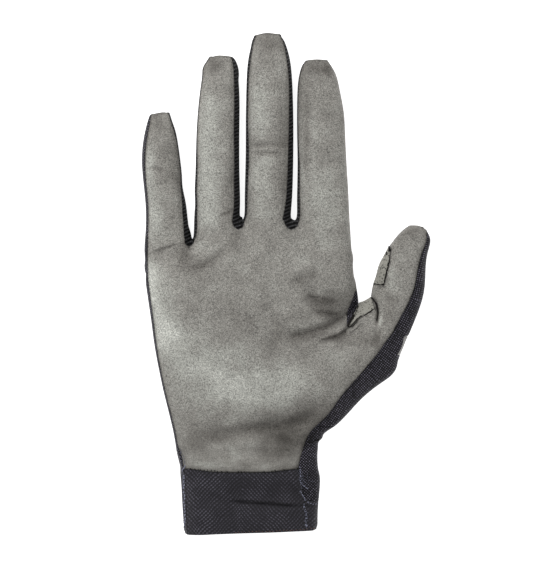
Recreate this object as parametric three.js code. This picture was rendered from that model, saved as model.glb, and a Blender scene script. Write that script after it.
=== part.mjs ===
// A right-hand sport glove lying on its back, palm up, fingertips towards +Y and thumb towards +X.
// The glove is one skin of cloth sections. Each panel is the stretch of skin between its seams,
// given a wall inwards, so that the hand's space inside is open from the cuff to the fingertips.
import * as THREE from 'three';

// Driving dimensions, in millimetres
const SUEDE_WALL = 1.2;
const MESH_WALL = 1.1;
const KNIT_WALL = 1.6;
const SEAM_GAP = 0.32;
const SHARPEST_CORNER = 0.08; // keeps the gap's corner from running far into a pointed panel
const WEB_FLARE = 1.7; // how much wider a finger's side strip is where it turns round the crotch
const WEB_FLARE_REACH = 0.06; // share of the finger over which the strip narrows again
const WIPE_PATCH_LIP = 1.9; // how far the thumb's wipe patch shows in front of the edge
const BACK_SEAM_INSET = 2.4; // how far the hand's back ends short of its sides

// Shape of a flattened tube of cloth: shares of its height, and how square its shoulders are
const WIDEST_AT = 0.4;
const FLATTENED = 0.18;
const BACK_SEAM_AT = 0.86;
const FINGER_SQUARENESS = 2.4;
const PALM_SQUARENESS = 2.9;
const CUFF_SQUARENESS = 2.3;

// Columns of cloth round a digit: over its front, under its back, and up its sides
const FRONT_COLUMNS = 6;
const BACK_COLUMNS = 4;
const SIDE_COLUMNS = 2;
const LIPPED_SIDE_COLUMNS = 3; // the side of the thumb and hand where the wipe patch shows
const UPPER_ROWS = 7;
const FINGER_STATIONS = [0, 0.1, 0.22, 0.36, 0.5, 0.64, 0.76, 0.86, 0.94, 1];
const THUMB_STATIONS = [0, 0.17, 0.31, 0.46, 0.62, 0.75, 0.88, 1];

// Each finger: sections from its base to its tip, on the outline seen from above
const FINGER_SECTION = ['along', 'leftX', 'leftY', 'rightX', 'rightY', 'height'];
const FINGERS = {
  pinky: [
    [0.0, -67.9, 11.0, -45.5, 22.6, 12.0],
    [0.35, -67.6, 35.5, -48.9, 43.5, 11.6],
    [0.7, -69.4, 60.5, -51.6, 65.0, 10.4],
    [0.88, -68.3, 73.0, -53.6, 75.7, 8.0],
    [0.97, -66.7, 79.6, -55.8, 81.2, 5.0],
    [1.0, -66.0, 82.0, -56.2, 83.4, 3.6],
  ],
  ring: [
    [0.0, -44.9, 22.6, -21.8, 32.2, 13.4],
    [0.35, -43.9, 53.0, -22.5, 59.3, 13.0],
    [0.7, -42.6, 83.5, -22.4, 86.5, 11.6],
    [0.88, -40.7, 99.2, -22.7, 100.5, 8.8],
    [0.97, -38.9, 107.2, -24.0, 107.7, 5.2],
    [1.0, -37.2, 110.1, -25.6, 110.2, 3.6],
  ],
  middle: [
    [0.0, -20.5, 32.2, 2.6, 31.4, 13.6],
    [0.35, -19.8, 62.7, 3.5, 62.5, 13.2],
    [0.7, -19.4, 93.3, 3.1, 93.5, 11.8],
    [0.88, -18.6, 109.0, 1.7, 109.5, 9.0],
    [0.97, -16.8, 117.2, -0.9, 117.6, 5.4],
    [1.0, -15.7, 120.5, -2.4, 120.9, 3.6],
  ],
  index: [
    [0.0, 4.6, 31.4, 30.9, 23.5, 13.6],
    [0.35, 5.2, 58.1, 29.1, 53.1, 13.2],
    [0.7, 5.1, 84.8, 27.5, 82.6, 11.8],
    [0.88, 5.7, 98.5, 24.6, 97.8, 9.0],
    [0.97, 7.3, 105.6, 21.6, 105.6, 5.2],
    [1.0, 8.5, 108.2, 19.8, 108.3, 3.6],
  ],
};

// How much of each finger's sides shows beside its suede, seen from above
const SIDE_STRIP = ['along', 'seamLeft', 'seamRight'];
const SIDE_STRIPS = {
  pinky: [
    [0.0, 1.6, 2.7],
    [0.22, 1.5, 2.3],
    [0.36, 1.6, 1.1],
    [0.5, 1.5, 0.4],
    [0.76, 2.0, 0.4],
    [0.86, 1.9, 0.8],
    [0.94, 1.5, 0.6],
    [1.0, 0.8, 0.4],
  ],
  ring: [
    [0.0, 1.7, 2.8],
    [0.1, 1.7, 2.8],
    [0.22, 1.0, 2.9],
    [0.36, 1.2, 2.4],
    [0.5, 0.5, 2.7],
    [0.64, 0.35, 2.6],
    [0.86, 0.35, 2.5],
    [0.94, 0.35, 2.2],
    [1.0, 0.35, 0.9],
  ],
  middle: [
    [0.0, 1.1, 2.7],
    [0.22, 1.5, 2.7],
    [0.36, 1.7, 2.6],
    [0.5, 1.0, 2.3],
    [0.76, 1.0, 1.6],
    [0.86, 1.4, 1.8],
    [0.94, 1.1, 1.0],
    [1.0, 0.6, 0.4],
  ],
  index: [
    [0.0, 1.6, 2.2],
    [0.22, 1.2, 2.2],
    [0.36, 1.0, 2.2],
    [0.5, 0.4, 2.1],
    [0.86, 0.35, 1.7],
    [1.0, 0.35, 0.8],
  ],
};

// The thumb, the hand and the cuff: seamLeft and seamRight are again what shows beside the suede or the knit
const SECTION = [...FINGER_SECTION, 'seamLeft', 'seamRight'];
const THUMB = [
  [0.0, 40.6, -5.5, 59.8, -21.6, 15.5, 1.2, 7.4],
  [0.14, 41.4, -0.4, 64.0, -11.5, 15.0, 1.2, 6.4],
  [0.28, 42.6, 5.4, 66.0, -3.4, 14.2, 1.2, 5.2],
  [0.42, 45.0, 11.2, 66.5, 4.8, 13.2, 1.2, 4.0],
  [0.57, 48.2, 16.5, 67.2, 12.6, 11.6, 1.2, 3.2],
  [0.72, 51.6, 21.6, 69.0, 18.6, 9.6, 1.1, 2.4],
  [0.86, 55.2, 25.7, 69.3, 23.2, 7.6, 1.0, 1.8],
  [1.0, 59.0, 28.6, 65.2, 28.6, 3.6, 0.6, 0.8],
];

// The hand below the thumb's crotch, from the cuff seam up to the crotch
const LOWER_HAND = [
  [0, -51.1, -89.6, 15.6, -89.8, 14.6, 1.9, 10.1],
  [1, -52.8, -81.0, 15.1, -80.5, 15.6, 1.4, 7.5],
  [2, -54.2, -72.0, 17.0, -72.5, 16.4, 1.2, 6.8],
  [3, -55.5, -66.2, 22.8, -67.6, 17.2, 1.2, 8.6],
  [4, -56.8, -60.6, 29.6, -61.4, 18.0, 1.1, 9.3],
  [5, -58.3, -54.6, 35.8, -54.6, 18.8, 1.1, 10.9],
  [6, -59.8, -48.2, 43.6, -48.0, 19.6, 1.1, 13.2],
  [7, -61.0, -42.2, 50.2, -43.4, 20.2, 1.1, 15.6],
  [8, -62.2, -36.4, 53.6, -37.6, 20.6, 1.2, 14.1],
  [9, -63.0, -31.8, 54.9, -33.6, 20.8, 1.2, 12.0],
  [10, -63.8, -27.0, 56.7, -28.6, 20.8, 1.3, 10.2],
  [11, -64.4, -22.4, 58.4, -24.6, 20.8, 1.3, 9.0],
  [12, -65.0, -17.8, 59.8, -21.6, 20.8, 1.4, 7.4],
];

// The hand between the thumb's crotch and the fingers. Its radial seam is the edge of the suede,
// which leaves the outline near the crotch, where the side turns into view.
const UPPER_SECTION = [
  'along', 'leftX', 'leftY', 'rightX', 'rightY', 'height', 'seamLeft', 'seamX', 'seamY',
];
const UPPER_HAND = [
  [0.0, -65.0, -17.8, 34.8, -8.6, 20.8, 1.4, 28.6, -20.6],
  [0.2, -66.2, -9.6, 34.3, -6.0, 20.2, 1.5, 29.8, -11.6],
  [0.4, -67.2, -2.6, 33.6, -1.8, 19.2, 1.6, 30.8, -2.8],
  [0.6, -67.8, 3.0, 32.8, 5.0, 18.0, 1.6, 30.6, 5.0],
  [0.8, -67.9, 7.4, 31.8, 14.0, 16.2, 1.5, 29.8, 14.0],
  [1.0, -67.9, 11.0, 30.9, 23.5, 13.6, 1.5, 28.7, 24.0],
];

// The cuff, from the cuff seam down to the hem
const CUFF = [
  [0.0, -51.1, -89.6, 15.6, -89.8, 14.6, 1.9, 10.0],
  [0.2, -50.6, -95.6, 16.2, -95.0, 14.0, 2.3, 9.2],
  [0.47, -50.2, -104.0, 15.4, -103.6, 13.6, 2.0, 7.0],
  [0.74, -49.7, -111.6, 15.0, -110.4, 13.2, 1.8, 5.9],
  [1.0, -49.0, -120.0, 15.0, -118.0, 12.8, 1.4, 5.4],
];

// Crotches between two digits: the lowest point of the web's front edge, of its middle and of its back edge
const WEBS = [
  { front: [-46.8, 18.6, 10.2], middle: [-45.2, 22.0, 4.8], back: [-45.3, 19.6, 1.0] },
  { front: [-22.9, 27.5, 11.2], middle: [-21.1, 31.7, 5.2], back: [-21.2, 29.0, 1.0] },
  { front: [2.3, 27.3, 11.4], middle: [3.6, 30.9, 5.2], back: [3.6, 28.4, 1.0] },
];
const THUMB_WEB = {
  frontLeft: [28.6, -20.6],
  front: [35.4, -15.4],
  frontRight: [42.0, -11.2],
  middleLeft: [34.8, -8.6, 6.4],
  middle: [37.4, -7.6, 6.6],
  middleRight: [40.6, -5.5, 6.6],
  backLeft: [33.4, -10.4, 1.2],
  back: [37.2, -10.6, 1.2],
  backRight: [42.2, -8.0, 1.2],
};

// Folds, dents and swellings of the palm side: a line, how far it reaches to each side, and its lift
const RELIEF = [
  { name: 'crotch hollow', from: [33, -17], to: [40, -12], reach: 11, lift: -8.5 },
  { name: 'thumb-base dent', from: [11, -6], to: [25, -11], reach: 5, lift: -3.6 },
  { name: 'thumb-base fold', from: [2, -23], to: [26, -17], reach: 3.6, lift: -2.6 },
  { name: 'fold ridge', from: [6, -13], to: [24, -14.5], reach: 3.4, lift: 1.8 },
  { name: 'ball of the thumb', from: [22, -46], to: [42, -26], reach: 16, lift: 2.4 },
  { name: 'heel fold', from: [-38, -71], to: [2, -63], reach: 5, lift: -1.6 },
  { name: 'heel dent', from: [-6, -68], to: [12, -62], reach: 6, lift: -2.2 },
  { name: 'heel swelling', from: [-12, -50], to: [14, -50], reach: 11, lift: 1.6 },
  { name: 'life line', from: [-6, 8], to: [-2, -48], reach: 9, lift: -1.4 },
  { name: 'cuff fold', from: [-25, -104], to: [8, -106.5], reach: 3.6, lift: -2.0 },
  { name: 'pinky joint', from: [-69, 54.5], to: [-50, 54.5], reach: 4, lift: -1.2 },
  { name: 'middle finger joint', from: [-20, 66], to: [3, 67], reach: 4, lift: -1.0 },
  { name: 'index finger joint', from: [12, 79], to: [26, 73], reach: 5, lift: -1.2 },
];

const lerp = THREE.MathUtils.lerp;
const vec = (p) => new THREE.Vector3(p[0], p[1], p[2] ?? 0);

// One section of a table at a place along it, with smooth curves or straight runs through its rows
function sectionAt(table, columns, along, Interpolant = THREE.CubicInterpolant) {
  const values = table.map((row) => row.slice(1)).flat();
  const places = table.map((row) => row[0]);
  const curve = new Interpolant(places, values, columns.length - 1);
  const found = Array.from(curve.evaluate(along));
  return Object.fromEntries(columns.slice(1).map((name, i) => [name, found[i]]));
}

// A flattened tube across the line from left to right. across runs from -1 to 1 on the outline.
class Tube {
  constructor(row, squareness) {
    this.left = new THREE.Vector2(row.leftX, row.leftY);
    this.right = new THREE.Vector2(row.rightX, row.rightY);
    this.width = this.left.distanceTo(this.right);
    this.height = row.height;
    this.squareness = squareness;
    this.middleHeight = WIDEST_AT * row.height;
  }
  fullness(across) {
    const side = Math.min(Math.abs(across), 1);
    return (1 - side ** this.squareness) ** (1 / this.squareness);
  }
  frontHeight(across) {
    return this.middleHeight + (this.height - this.middleHeight) * this.fullness(across);
  }
  backHeight(across) {
    const drop = this.middleHeight + FLATTENED * this.height;
    return Math.max(0, this.middleHeight - drop * this.fullness(across));
  }
  plan(across) {
    return this.left.clone().lerp(this.right, (across + 1) / 2);
  }
  point(across, height) {
    const at = this.plan(across);
    return new THREE.Vector3(at.x, at.y, height);
  }
  front(across) {
    return this.point(across, this.frontHeight(across));
  }
  back(across) {
    return this.point(across, this.backHeight(across));
  }
  acrossOf(inset) {
    return 1 - (2 * inset) / this.width;
  }
  // The place across the tube of a point that is seen from above
  acrossAt(point) {
    const run = this.right.clone().sub(this.left).normalize();
    const offset = new THREE.Vector2(point.x, point.y).sub(this.left);
    return (2 * offset.dot(run)) / this.width - 1;
  }
}

// The front of a digit's section, evenly spaced round the tube from seam to seam
function frontOfDigit(tube, seamLeft, seamRight) {
  const start = Math.acos(tube.acrossOf(seamLeft));
  const end = Math.PI - Math.acos(tube.acrossOf(seamRight));
  const points = [];
  for (let j = 0; j <= FRONT_COLUMNS; j++) {
    points.push(tube.front(-Math.cos(lerp(start, end, j / FRONT_COLUMNS))));
  }
  return points;
}

function backOfDigit(tube) {
  const points = [];
  for (let j = 0; j <= BACK_COLUMNS; j++) {
    points.push(tube.back(lerp(-BACK_SEAM_AT, BACK_SEAM_AT, j / BACK_COLUMNS)));
  }
  return points;
}

// A patch of points filled in between four edges, seen from above. Kinks in the top edge fade downwards.
const SMOOTHING_PASSES = 30;
const KINK_FADE = 4;

function fillBetween(bottom, top, left, right, shares) {
  const last = shares.length - 1;
  const smooth = smoothed(top);
  return left.map((leftPoint, k) => {
    const up = k / (left.length - 1);
    return shares.map((share, j) => {
      if (k === left.length - 1) return top[j].clone();
      if (k === 0) return bottom[j].clone();
      const at = new THREE.Vector3();
      at.addScaledVector(bottom[j], 1 - up).addScaledVector(smooth[j], up);
      at.addScaledVector(leftPoint, 1 - share).addScaledVector(right[k], share);
      at.addScaledVector(bottom[0], -(1 - share) * (1 - up));
      at.addScaledVector(bottom[last], -share * (1 - up));
      at.addScaledVector(smooth[0], -(1 - share) * up);
      at.addScaledVector(smooth[last], -share * up);
      return at.addScaledVector(top[j].clone().sub(smooth[j]), up ** KINK_FADE);
    });
  });
}

function smoothed(row) {
  let points = row.map((p) => p.clone());
  for (let pass = 0; pass < SMOOTHING_PASSES; pass++) {
    points = points.map((p, j) => {
      if (j === 0 || j === points.length - 1) return p;
      return points[j - 1].clone().add(points[j + 1]).multiplyScalar(0.25).addScaledVector(p, 0.5);
    });
  }
  return points;
}

function sharesOf(row) {
  const lengths = [0];
  for (let j = 1; j < row.length; j++) {
    const step = Math.hypot(row[j].x - row[j - 1].x, row[j].y - row[j - 1].y);
    lengths.push(lengths[j - 1] + step);
  }
  return lengths.map((length) => length / lengths[lengths.length - 1]);
}

// Every vertex of the skin is stored once, so panels that share a seam share its points.
const skin = { points: [], faces: [], index: new Map() };

function vertex(point) {
  const key = [point.x, point.y, point.z].map((v) => Math.round(v * 1000)).join(' ');
  if (!skin.index.has(key)) {
    skin.index.set(key, skin.points.length);
    skin.points.push(point.clone());
  }
  return skin.index.get(key);
}

function quad(a, b, c, d, panel) {
  skin.faces.push({ corners: [a, b, c, d].map(vertex), panel });
}

// A band of cloth between two rows of points. panelOf names the panel of each column.
function band(lower, upper, panelOf, closed = false) {
  const count = closed ? lower.length : lower.length - 1;
  for (let j = 0; j < count; j++) {
    const next = (j + 1) % lower.length;
    quad(lower[j], lower[next], upper[next], upper[j], panelOf(j));
  }
}

// The four fingers: the points of every section, in order from the left seam over the front
const fingerNames = Object.keys(FINGERS);

function fingerSections(name, position) {
  return FINGER_STATIONS.map((along) => {
    const row = sectionAt(FINGERS[name], FINGER_SECTION, along);
    const strip = sectionAt(SIDE_STRIPS[name], SIDE_STRIP, along, THREE.LinearInterpolant);
    const flare = WEB_FLARE * Math.exp(-along / WEB_FLARE_REACH);
    const widen = position < fingerNames.length - 1 ? flare : 0;
    const tube = new Tube(row, FINGER_SQUARENESS);
    return {
      front: frontOfDigit(tube, strip.seamLeft, strip.seamRight + widen),
      back: backOfDigit(tube),
      left: tube.front(-1),
      right: tube.front(1),
    };
  });
}

const fingers = fingerNames.map(fingerSections);

// The row of points where the fingers join the hand, with the webs' lowest points between them
function rowThroughFingers(side) {
  const row = [];
  fingers.forEach((sections, i) => {
    row.push(...sections[0][side]);
    if (i < WEBS.length) row.push(vec(WEBS[i][side]));
  });
  return row;
}

const knuckleFront = rowThroughFingers('front');
const knuckleBack = rowThroughFingers('back');

// The thumb
const thumbSections = THUMB_STATIONS.map((along) => {
  const row = sectionAt(THUMB, SECTION, along);
  const tube = new Tube(row, FINGER_SQUARENESS);
  return {
    front: frontOfDigit(tube, row.seamLeft, row.seamRight),
    back: backOfDigit(tube),
    left: tube.front(-1),
    right: tube.front(1),
    lip: tube.front(tube.acrossOf(Math.min(WIPE_PATCH_LIP, row.seamRight / 2))),
  };
});

// Sections of the hand below the crotch, and of the cuff
function handSection(table, along, squareness) {
  const row = sectionAt(table, SECTION, along);
  const tube = new Tube(row, squareness);
  return {
    tube,
    seamLeft: tube.front(-tube.acrossOf(row.seamLeft)),
    seamRight: tube.front(tube.acrossOf(row.seamRight)),
    left: tube.front(-1),
    right: tube.front(1),
    lip: tube.front(tube.acrossOf(WIPE_PATCH_LIP)),
    backLeft: tube.back(-tube.acrossOf(BACK_SEAM_INSET)),
    backRight: tube.back(tube.acrossOf(BACK_SEAM_INSET)),
  };
}

function lastOf(list) {
  return list[list.length - 1];
}

// Gives filled points the height of their own section, by their place across it
function raiseTo(height, rows, sections) {
  rows.forEach((points, k) => {
    const { tube } = sections[k];
    for (const p of points) p.z = tube[height](tube.acrossAt(p));
  });
}

const flat = (p) => new THREE.Vector3(p.x, p.y, 0);

// The row through the thumb's crotch: across the palm, round the web, across the thumb
const lowerSections = LOWER_HAND.map((row) => handSection(LOWER_HAND, row[0], PALM_SQUARENESS));
const LOWER_ROWS = LOWER_HAND.length - 1;
const crotchSection = lastOf(lowerSections);

function straightRow(from, to, shares) {
  return shares.map((share) => from.clone().lerp(to, share));
}

const palmShares = sharesOf(knuckleFront);
const palmBackShares = sharesOf(knuckleBack);
const webLeft = vec(THUMB_WEB.frontLeft);
const webRight = vec(THUMB_WEB.frontRight);
const thumbFrontShares = sharesOf(thumbSections[0].front);
const thumbBackShares = Array.from({ length: BACK_COLUMNS + 1 }, (_, j) => j / BACK_COLUMNS);
const crotchFront = [
  ...straightRow(flat(crotchSection.seamLeft), webLeft, palmShares),
  vec(THUMB_WEB.front),
  ...straightRow(webRight, flat(crotchSection.seamRight), thumbFrontShares),
];
raiseTo('frontHeight', [crotchFront], [crotchSection]);
const crotchBack = [
  ...straightRow(flat(crotchSection.backLeft), flat(vec(THUMB_WEB.backLeft)), palmBackShares),
  flat(vec(THUMB_WEB.back)),
  ...straightRow(flat(vec(THUMB_WEB.backRight)), flat(crotchSection.backRight), thumbBackShares),
];
raiseTo('backHeight', [crotchBack], [crotchSection]);
const backOfWeb = palmBackShares.length - 1;
crotchBack[backOfWeb].z = THUMB_WEB.backLeft[2];
crotchBack[backOfWeb + 1].z = THUMB_WEB.back[2];
crotchBack[backOfWeb + 2].z = THUMB_WEB.backRight[2];

// Below the crotch
const lowerShares = sharesOf(crotchFront);
const lowerFront = fillBetween(
  straightRow(flat(lowerSections[0].seamLeft), flat(lowerSections[0].seamRight), lowerShares),
  crotchFront.map(flat),
  lowerSections.map((s) => flat(s.seamLeft)),
  lowerSections.map((s) => flat(s.seamRight)),
  lowerShares,
);
raiseTo('frontHeight', lowerFront, lowerSections);
const lowerBackShares = sharesOf(crotchBack);
const lowerBackRows = fillBetween(
  straightRow(flat(lowerSections[0].backLeft), flat(lowerSections[0].backRight), lowerBackShares),
  crotchBack.map(flat),
  lowerSections.map((s) => flat(s.backLeft)),
  lowerSections.map((s) => flat(s.backRight)),
  lowerBackShares,
);
raiseTo('backHeight', lowerBackRows, lowerSections);
lowerBackRows[LOWER_ROWS] = crotchBack;
lowerFront[LOWER_ROWS] = crotchFront;

// Between the crotch and the fingers
const upperSections = Array.from({ length: UPPER_ROWS + 1 }, (_, k) => {
  const row = sectionAt(UPPER_HAND, UPPER_SECTION, k / UPPER_ROWS);
  const tube = new Tube(row, PALM_SQUARENESS);
  return {
    tube,
    seamLeft: tube.front(-tube.acrossOf(row.seamLeft)),
    seamRight: new THREE.Vector3(row.seamX, row.seamY, 0),
    left: tube.front(-1),
    right: tube.front(1),
    backLeft: tube.back(-tube.acrossOf(BACK_SEAM_INSET)),
    backRight: tube.back(tube.acrossOf(BACK_SEAM_INSET)),
  };
});
const upperFront = fillBetween(
  crotchFront.slice(0, palmShares.length).map(flat),
  knuckleFront.map(flat),
  upperSections.map((s) => flat(s.seamLeft)),
  upperSections.map((s) => flat(s.seamRight)),
  palmShares,
);
raiseTo('frontHeight', upperFront, upperSections);
upperFront.forEach((points, k) => {
  const near = (k / UPPER_ROWS) ** KINK_FADE;
  points.forEach((p, j) => {
    p.z = lerp(p.z, knuckleFront[j].z, near);
  });
});
upperFront[0] = crotchFront.slice(0, palmShares.length);
upperFront[UPPER_ROWS] = knuckleFront;
const upperBack = fillBetween(
  crotchBack.slice(0, palmBackShares.length).map(flat),
  knuckleBack.map(flat),
  upperSections.map((s) => flat(s.backLeft)),
  upperSections.map((s) => flat(s.backRight)),
  palmBackShares,
);
raiseTo('backHeight', upperBack, upperSections);
upperBack[0] = crotchBack.slice(0, palmBackShares.length);
upperBack[UPPER_ROWS] = knuckleBack;

// Which panel each stretch of a ring belongs to. A ring runs from the left front seam over the front,
// round the right side, back underneath and up the left side.
function ring(front, rightSide, back, leftSide) {
  return [...front, ...rightSide, ...back.slice().reverse(), ...leftSide];
}

function panelsOfRing(counts, names) {
  const panels = [];
  counts.forEach((count, i) => {
    for (let n = 0; n < count; n++) panels.push(names[i]);
  });
  return (j) => panels[j];
}

// The suede turns down over a digit's tip and meets the back there.
function closeTip(tip) {
  band(tip.front, [tip.left, ...tip.back, tip.right], () => 'palm_panel');
}

// Fingers
const STRIPS = [
  'back_panel', 'fourchette_pinky_ring', 'fourchette_ring_middle', 'fourchette_middle_index', 'palm_panel',
];
fingers.forEach((sections, i) => {
  const rings = sections.map((s) => ring(s.front, [s.right], s.back, [s.left]));
  if (i > 0) rings[0][rings[0].length - 1] = sections[0].left;
  const panelOf = panelsOfRing(
    [FRONT_COLUMNS, SIDE_COLUMNS, BACK_COLUMNS, SIDE_COLUMNS],
    ['palm_panel', STRIPS[i + 1], 'back_panel', STRIPS[i]],
  );
  for (let k = 1; k < rings.length; k++) band(rings[k - 1], rings[k], panelOf, true);
  closeTip(lastOf(sections));
});

// Webs between the fingers: the fourchettes' strips turn round the crotch
WEBS.forEach((web, i) => {
  const a = fingers[i][0];
  const b = fingers[i + 1][0];
  const front = [lastOf(a.front), vec(web.front), b.front[0]];
  const middle = [a.right, vec(web.middle), b.left];
  const back = [lastOf(a.back), vec(web.back), b.back[0]];
  band(front, middle, () => STRIPS[i + 1]);
  band(middle, back, () => STRIPS[i + 1]);
});

// Thumb: its suede front, the mesh strip on its outer side, its back and the side patch
const SIDE_PATCH = { firstRow: 1, lastRow: 4, columns: 2 };
const WIPE_PATCH = { lastThumbRow: 4, firstHandRow: 10, lastEdgeRow: 11 };
const thumbRings = thumbSections.map((s) => ring(s.front, [s.lip, s.right], s.back, [s.left]));
thumbRings[0] = ring(
  crotchFront.slice(palmShares.length + 1),
  [crotchSection.lip, crotchSection.right],
  crotchBack.slice(palmBackShares.length + 1),
  [vec(THUMB_WEB.middleRight)],
);
const thumbBackStart = FRONT_COLUMNS + LIPPED_SIDE_COLUMNS;
const thumbBackEnd = thumbBackStart + BACK_COLUMNS;
const thumbFaces = thumbBackEnd + SIDE_COLUMNS;
for (let k = 1; k < thumbRings.length; k++) {
  const row = k - 1;
  const patched = row >= SIDE_PATCH.firstRow && row < SIDE_PATCH.lastRow;
  const wiped = row < WIPE_PATCH.lastThumbRow;
  band(thumbRings[row], thumbRings[k], (j) => {
    if (patched && (j < SIDE_PATCH.columns || j === thumbFaces - 1)) return 'thumb_side_patch';
    if (j < FRONT_COLUMNS || j === thumbFaces - 1) return 'palm_panel';
    if (wiped && j >= thumbBackStart && j < thumbBackEnd - 1) return 'thumb_wipe_patch';
    return 'thumb_back_panel';
  }, true);
}
closeTip(lastOf(thumbSections));

// The thumb's crotch patch
const webFront = crotchFront.slice(palmShares.length - 1, palmShares.length + 2);
const webMiddle = [vec(THUMB_WEB.middleLeft), vec(THUMB_WEB.middle), vec(THUMB_WEB.middleRight)];
const webBack = crotchBack.slice(palmBackShares.length - 1, palmBackShares.length + 2);
band(webFront, webMiddle, () => 'thumb_crotch_patch');
band(webMiddle, webBack, () => 'thumb_crotch_patch');

// Hand above the crotch: the mesh side shows next to the crotch, and the suede wraps round above it
const MESH_WEDGE_ROWS = 2;
upperSections[0].left = crotchSection.left;
upperSections[0].right = webMiddle[0];
lastOf(upperSections).left = fingers[0][0].left;
lastOf(upperSections).right = lastOf(fingers)[0].right;
const upperRings = upperSections.map((s, k) => ring(upperFront[k], [s.right], upperBack[k], [s.left]));
for (let k = 1; k <= UPPER_ROWS; k++) {
  const radial = k <= MESH_WEDGE_ROWS ? 'back_panel' : 'palm_panel';
  const panelOf = panelsOfRing(
    [palmShares.length - 1, SIDE_COLUMNS, palmBackShares.length - 1, SIDE_COLUMNS],
    ['palm_panel', radial, 'back_panel', 'back_panel'],
  );
  band(upperRings[k - 1], upperRings[k], panelOf, true);
}

// Hand below the crotch
const GUSSET_TOP_ROW = 3;
const CUFF_CORNER_ROW = 1;
const lowerRings = lowerSections.map((s, k) =>
  ring(lowerFront[k], [s.lip, s.right], lowerBackRows[k], [s.left]));
const frontFaces = lowerShares.length - 1;
const backFaces = lowerBackShares.length - 1;
for (let k = 1; k <= LOWER_ROWS; k++) {
  const lowest = k <= GUSSET_TOP_ROW;
  const corner = k <= CUFF_CORNER_ROW;
  const wiped = k >= WIPE_PATCH.firstHandRow;
  const lipped = wiped && k <= WIPE_PATCH.lastEdgeRow;
  band(lowerRings[k - 1], lowerRings[k], (j) => {
    if (j < frontFaces) return 'palm_panel';
    const side = j - frontFaces;
    const back = side - LIPPED_SIDE_COLUMNS;
    if (side < LIPPED_SIDE_COLUMNS) {
      if (lowest) return 'cuff_side_gusset';
      return lipped && side > 0 ? 'thumb_wipe_patch' : 'thumb_back_panel';
    }
    if (back < BACK_COLUMNS && !lowest) {
      return wiped && back < BACK_COLUMNS - 1 ? 'thumb_wipe_patch' : 'thumb_back_panel';
    }
    return corner && back >= backFaces ? 'cuff_back' : 'back_panel';
  }, true);
}

// Cuff: the knit front, the mesh gusset's lower end and the knit back, which wraps both edges
const GUSSET_END_ROW = 2;
const cuffSections = CUFF.map((row) => handSection(CUFF, row[0], CUFF_SQUARENESS));
const cuffRings = cuffSections.map((s, k) => {
  if (k === 0) return lowerRings[0];
  const front = straightRow(flat(s.seamLeft), flat(s.seamRight), lowerShares);
  raiseTo('frontHeight', [front], [s]);
  const back = straightRow(flat(s.backLeft), flat(s.backRight), lowerBackShares);
  raiseTo('backHeight', [back], [s]);
  return ring(front, [s.lip, s.right], back, [s.left]);
});
for (let k = 1; k < cuffRings.length; k++) {
  const gusset = k <= GUSSET_END_ROW;
  band(cuffRings[k], cuffRings[k - 1], (j) => {
    if (j < frontFaces) return 'cuff_front';
    if (j < frontFaces + LIPPED_SIDE_COLUMNS && gusset) return 'cuff_side_gusset';
    return 'cuff_back';
  }, true);
}

// Folds and swellings, on the side that faces up: none at a low height, whole at a full height
const RELIEF_NONE_AT = 4;
const RELIEF_WHOLE_AT = 11;

function distanceToLine(point, from, to) {
  const start = new THREE.Vector2(...from);
  const run = new THREE.Vector2(...to).sub(start);
  const offset = new THREE.Vector2(point.x, point.y).sub(start);
  const share = THREE.MathUtils.clamp(offset.dot(run) / run.lengthSq(), 0, 1);
  return offset.addScaledVector(run, -share).length();
}

for (const point of skin.points) {
  const upward = THREE.MathUtils.smoothstep(point.z, RELIEF_NONE_AT, RELIEF_WHOLE_AT);
  for (const fold of RELIEF) {
    const away = distanceToLine(point, fold.from, fold.to) / fold.reach;
    point.z += upward * fold.lift * Math.exp(-away * away);
  }
}

// Normals of the whole skin, so that neighbouring panels turn inwards together
function skinNormals() {
  const normals = skin.points.map(() => new THREE.Vector3());
  for (const { corners } of skin.faces) {
    const [a, b, c, d] = corners.map((i) => skin.points[i]);
    const normal = c.clone().sub(a).cross(d.clone().sub(b));
    corners.forEach((i) => normals[i].add(normal));
  }
  return normals.map((n) => n.normalize());
}

const normals = skinNormals();

// The panel's edge: for each edge point, the points before and after it along the seam
function edgeOf(faces) {
  const forward = new Map();
  for (const { corners } of faces) {
    corners.forEach((from, i) => {
      const to = corners[(i + 1) % corners.length];
      forward.set(from + ' ' + to, [from, to]);
    });
  }
  const loose = [...forward.values()].filter(([from, to]) => !forward.has(to + ' ' + from));
  const after = new Map(loose);
  const before = new Map(loose.map(([from, to]) => [to, from]));
  if (after.size !== loose.length) throw new Error(faces[0].panel + ' touches itself at one point');
  return { loose, after, before };
}

// How far an edge point moves into its panel, so that panels stay a seam's gap apart
function seamInset(i, edge) {
  if (!edge.after.has(i)) return new THREE.Vector3();
  const inwards = [[edge.before.get(i), i], [i, edge.after.get(i)]].map(([from, to]) => {
    const run = skin.points[to].clone().sub(skin.points[from]).normalize();
    return normals[i].clone().cross(run).normalize();
  });
  const sum = inwards[0].clone().add(inwards[1]);
  const miter = Math.max(SHARPEST_CORNER, 1 + inwards[0].dot(inwards[1]));
  return sum.multiplyScalar(SEAM_GAP / 2 / miter);
}

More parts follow.
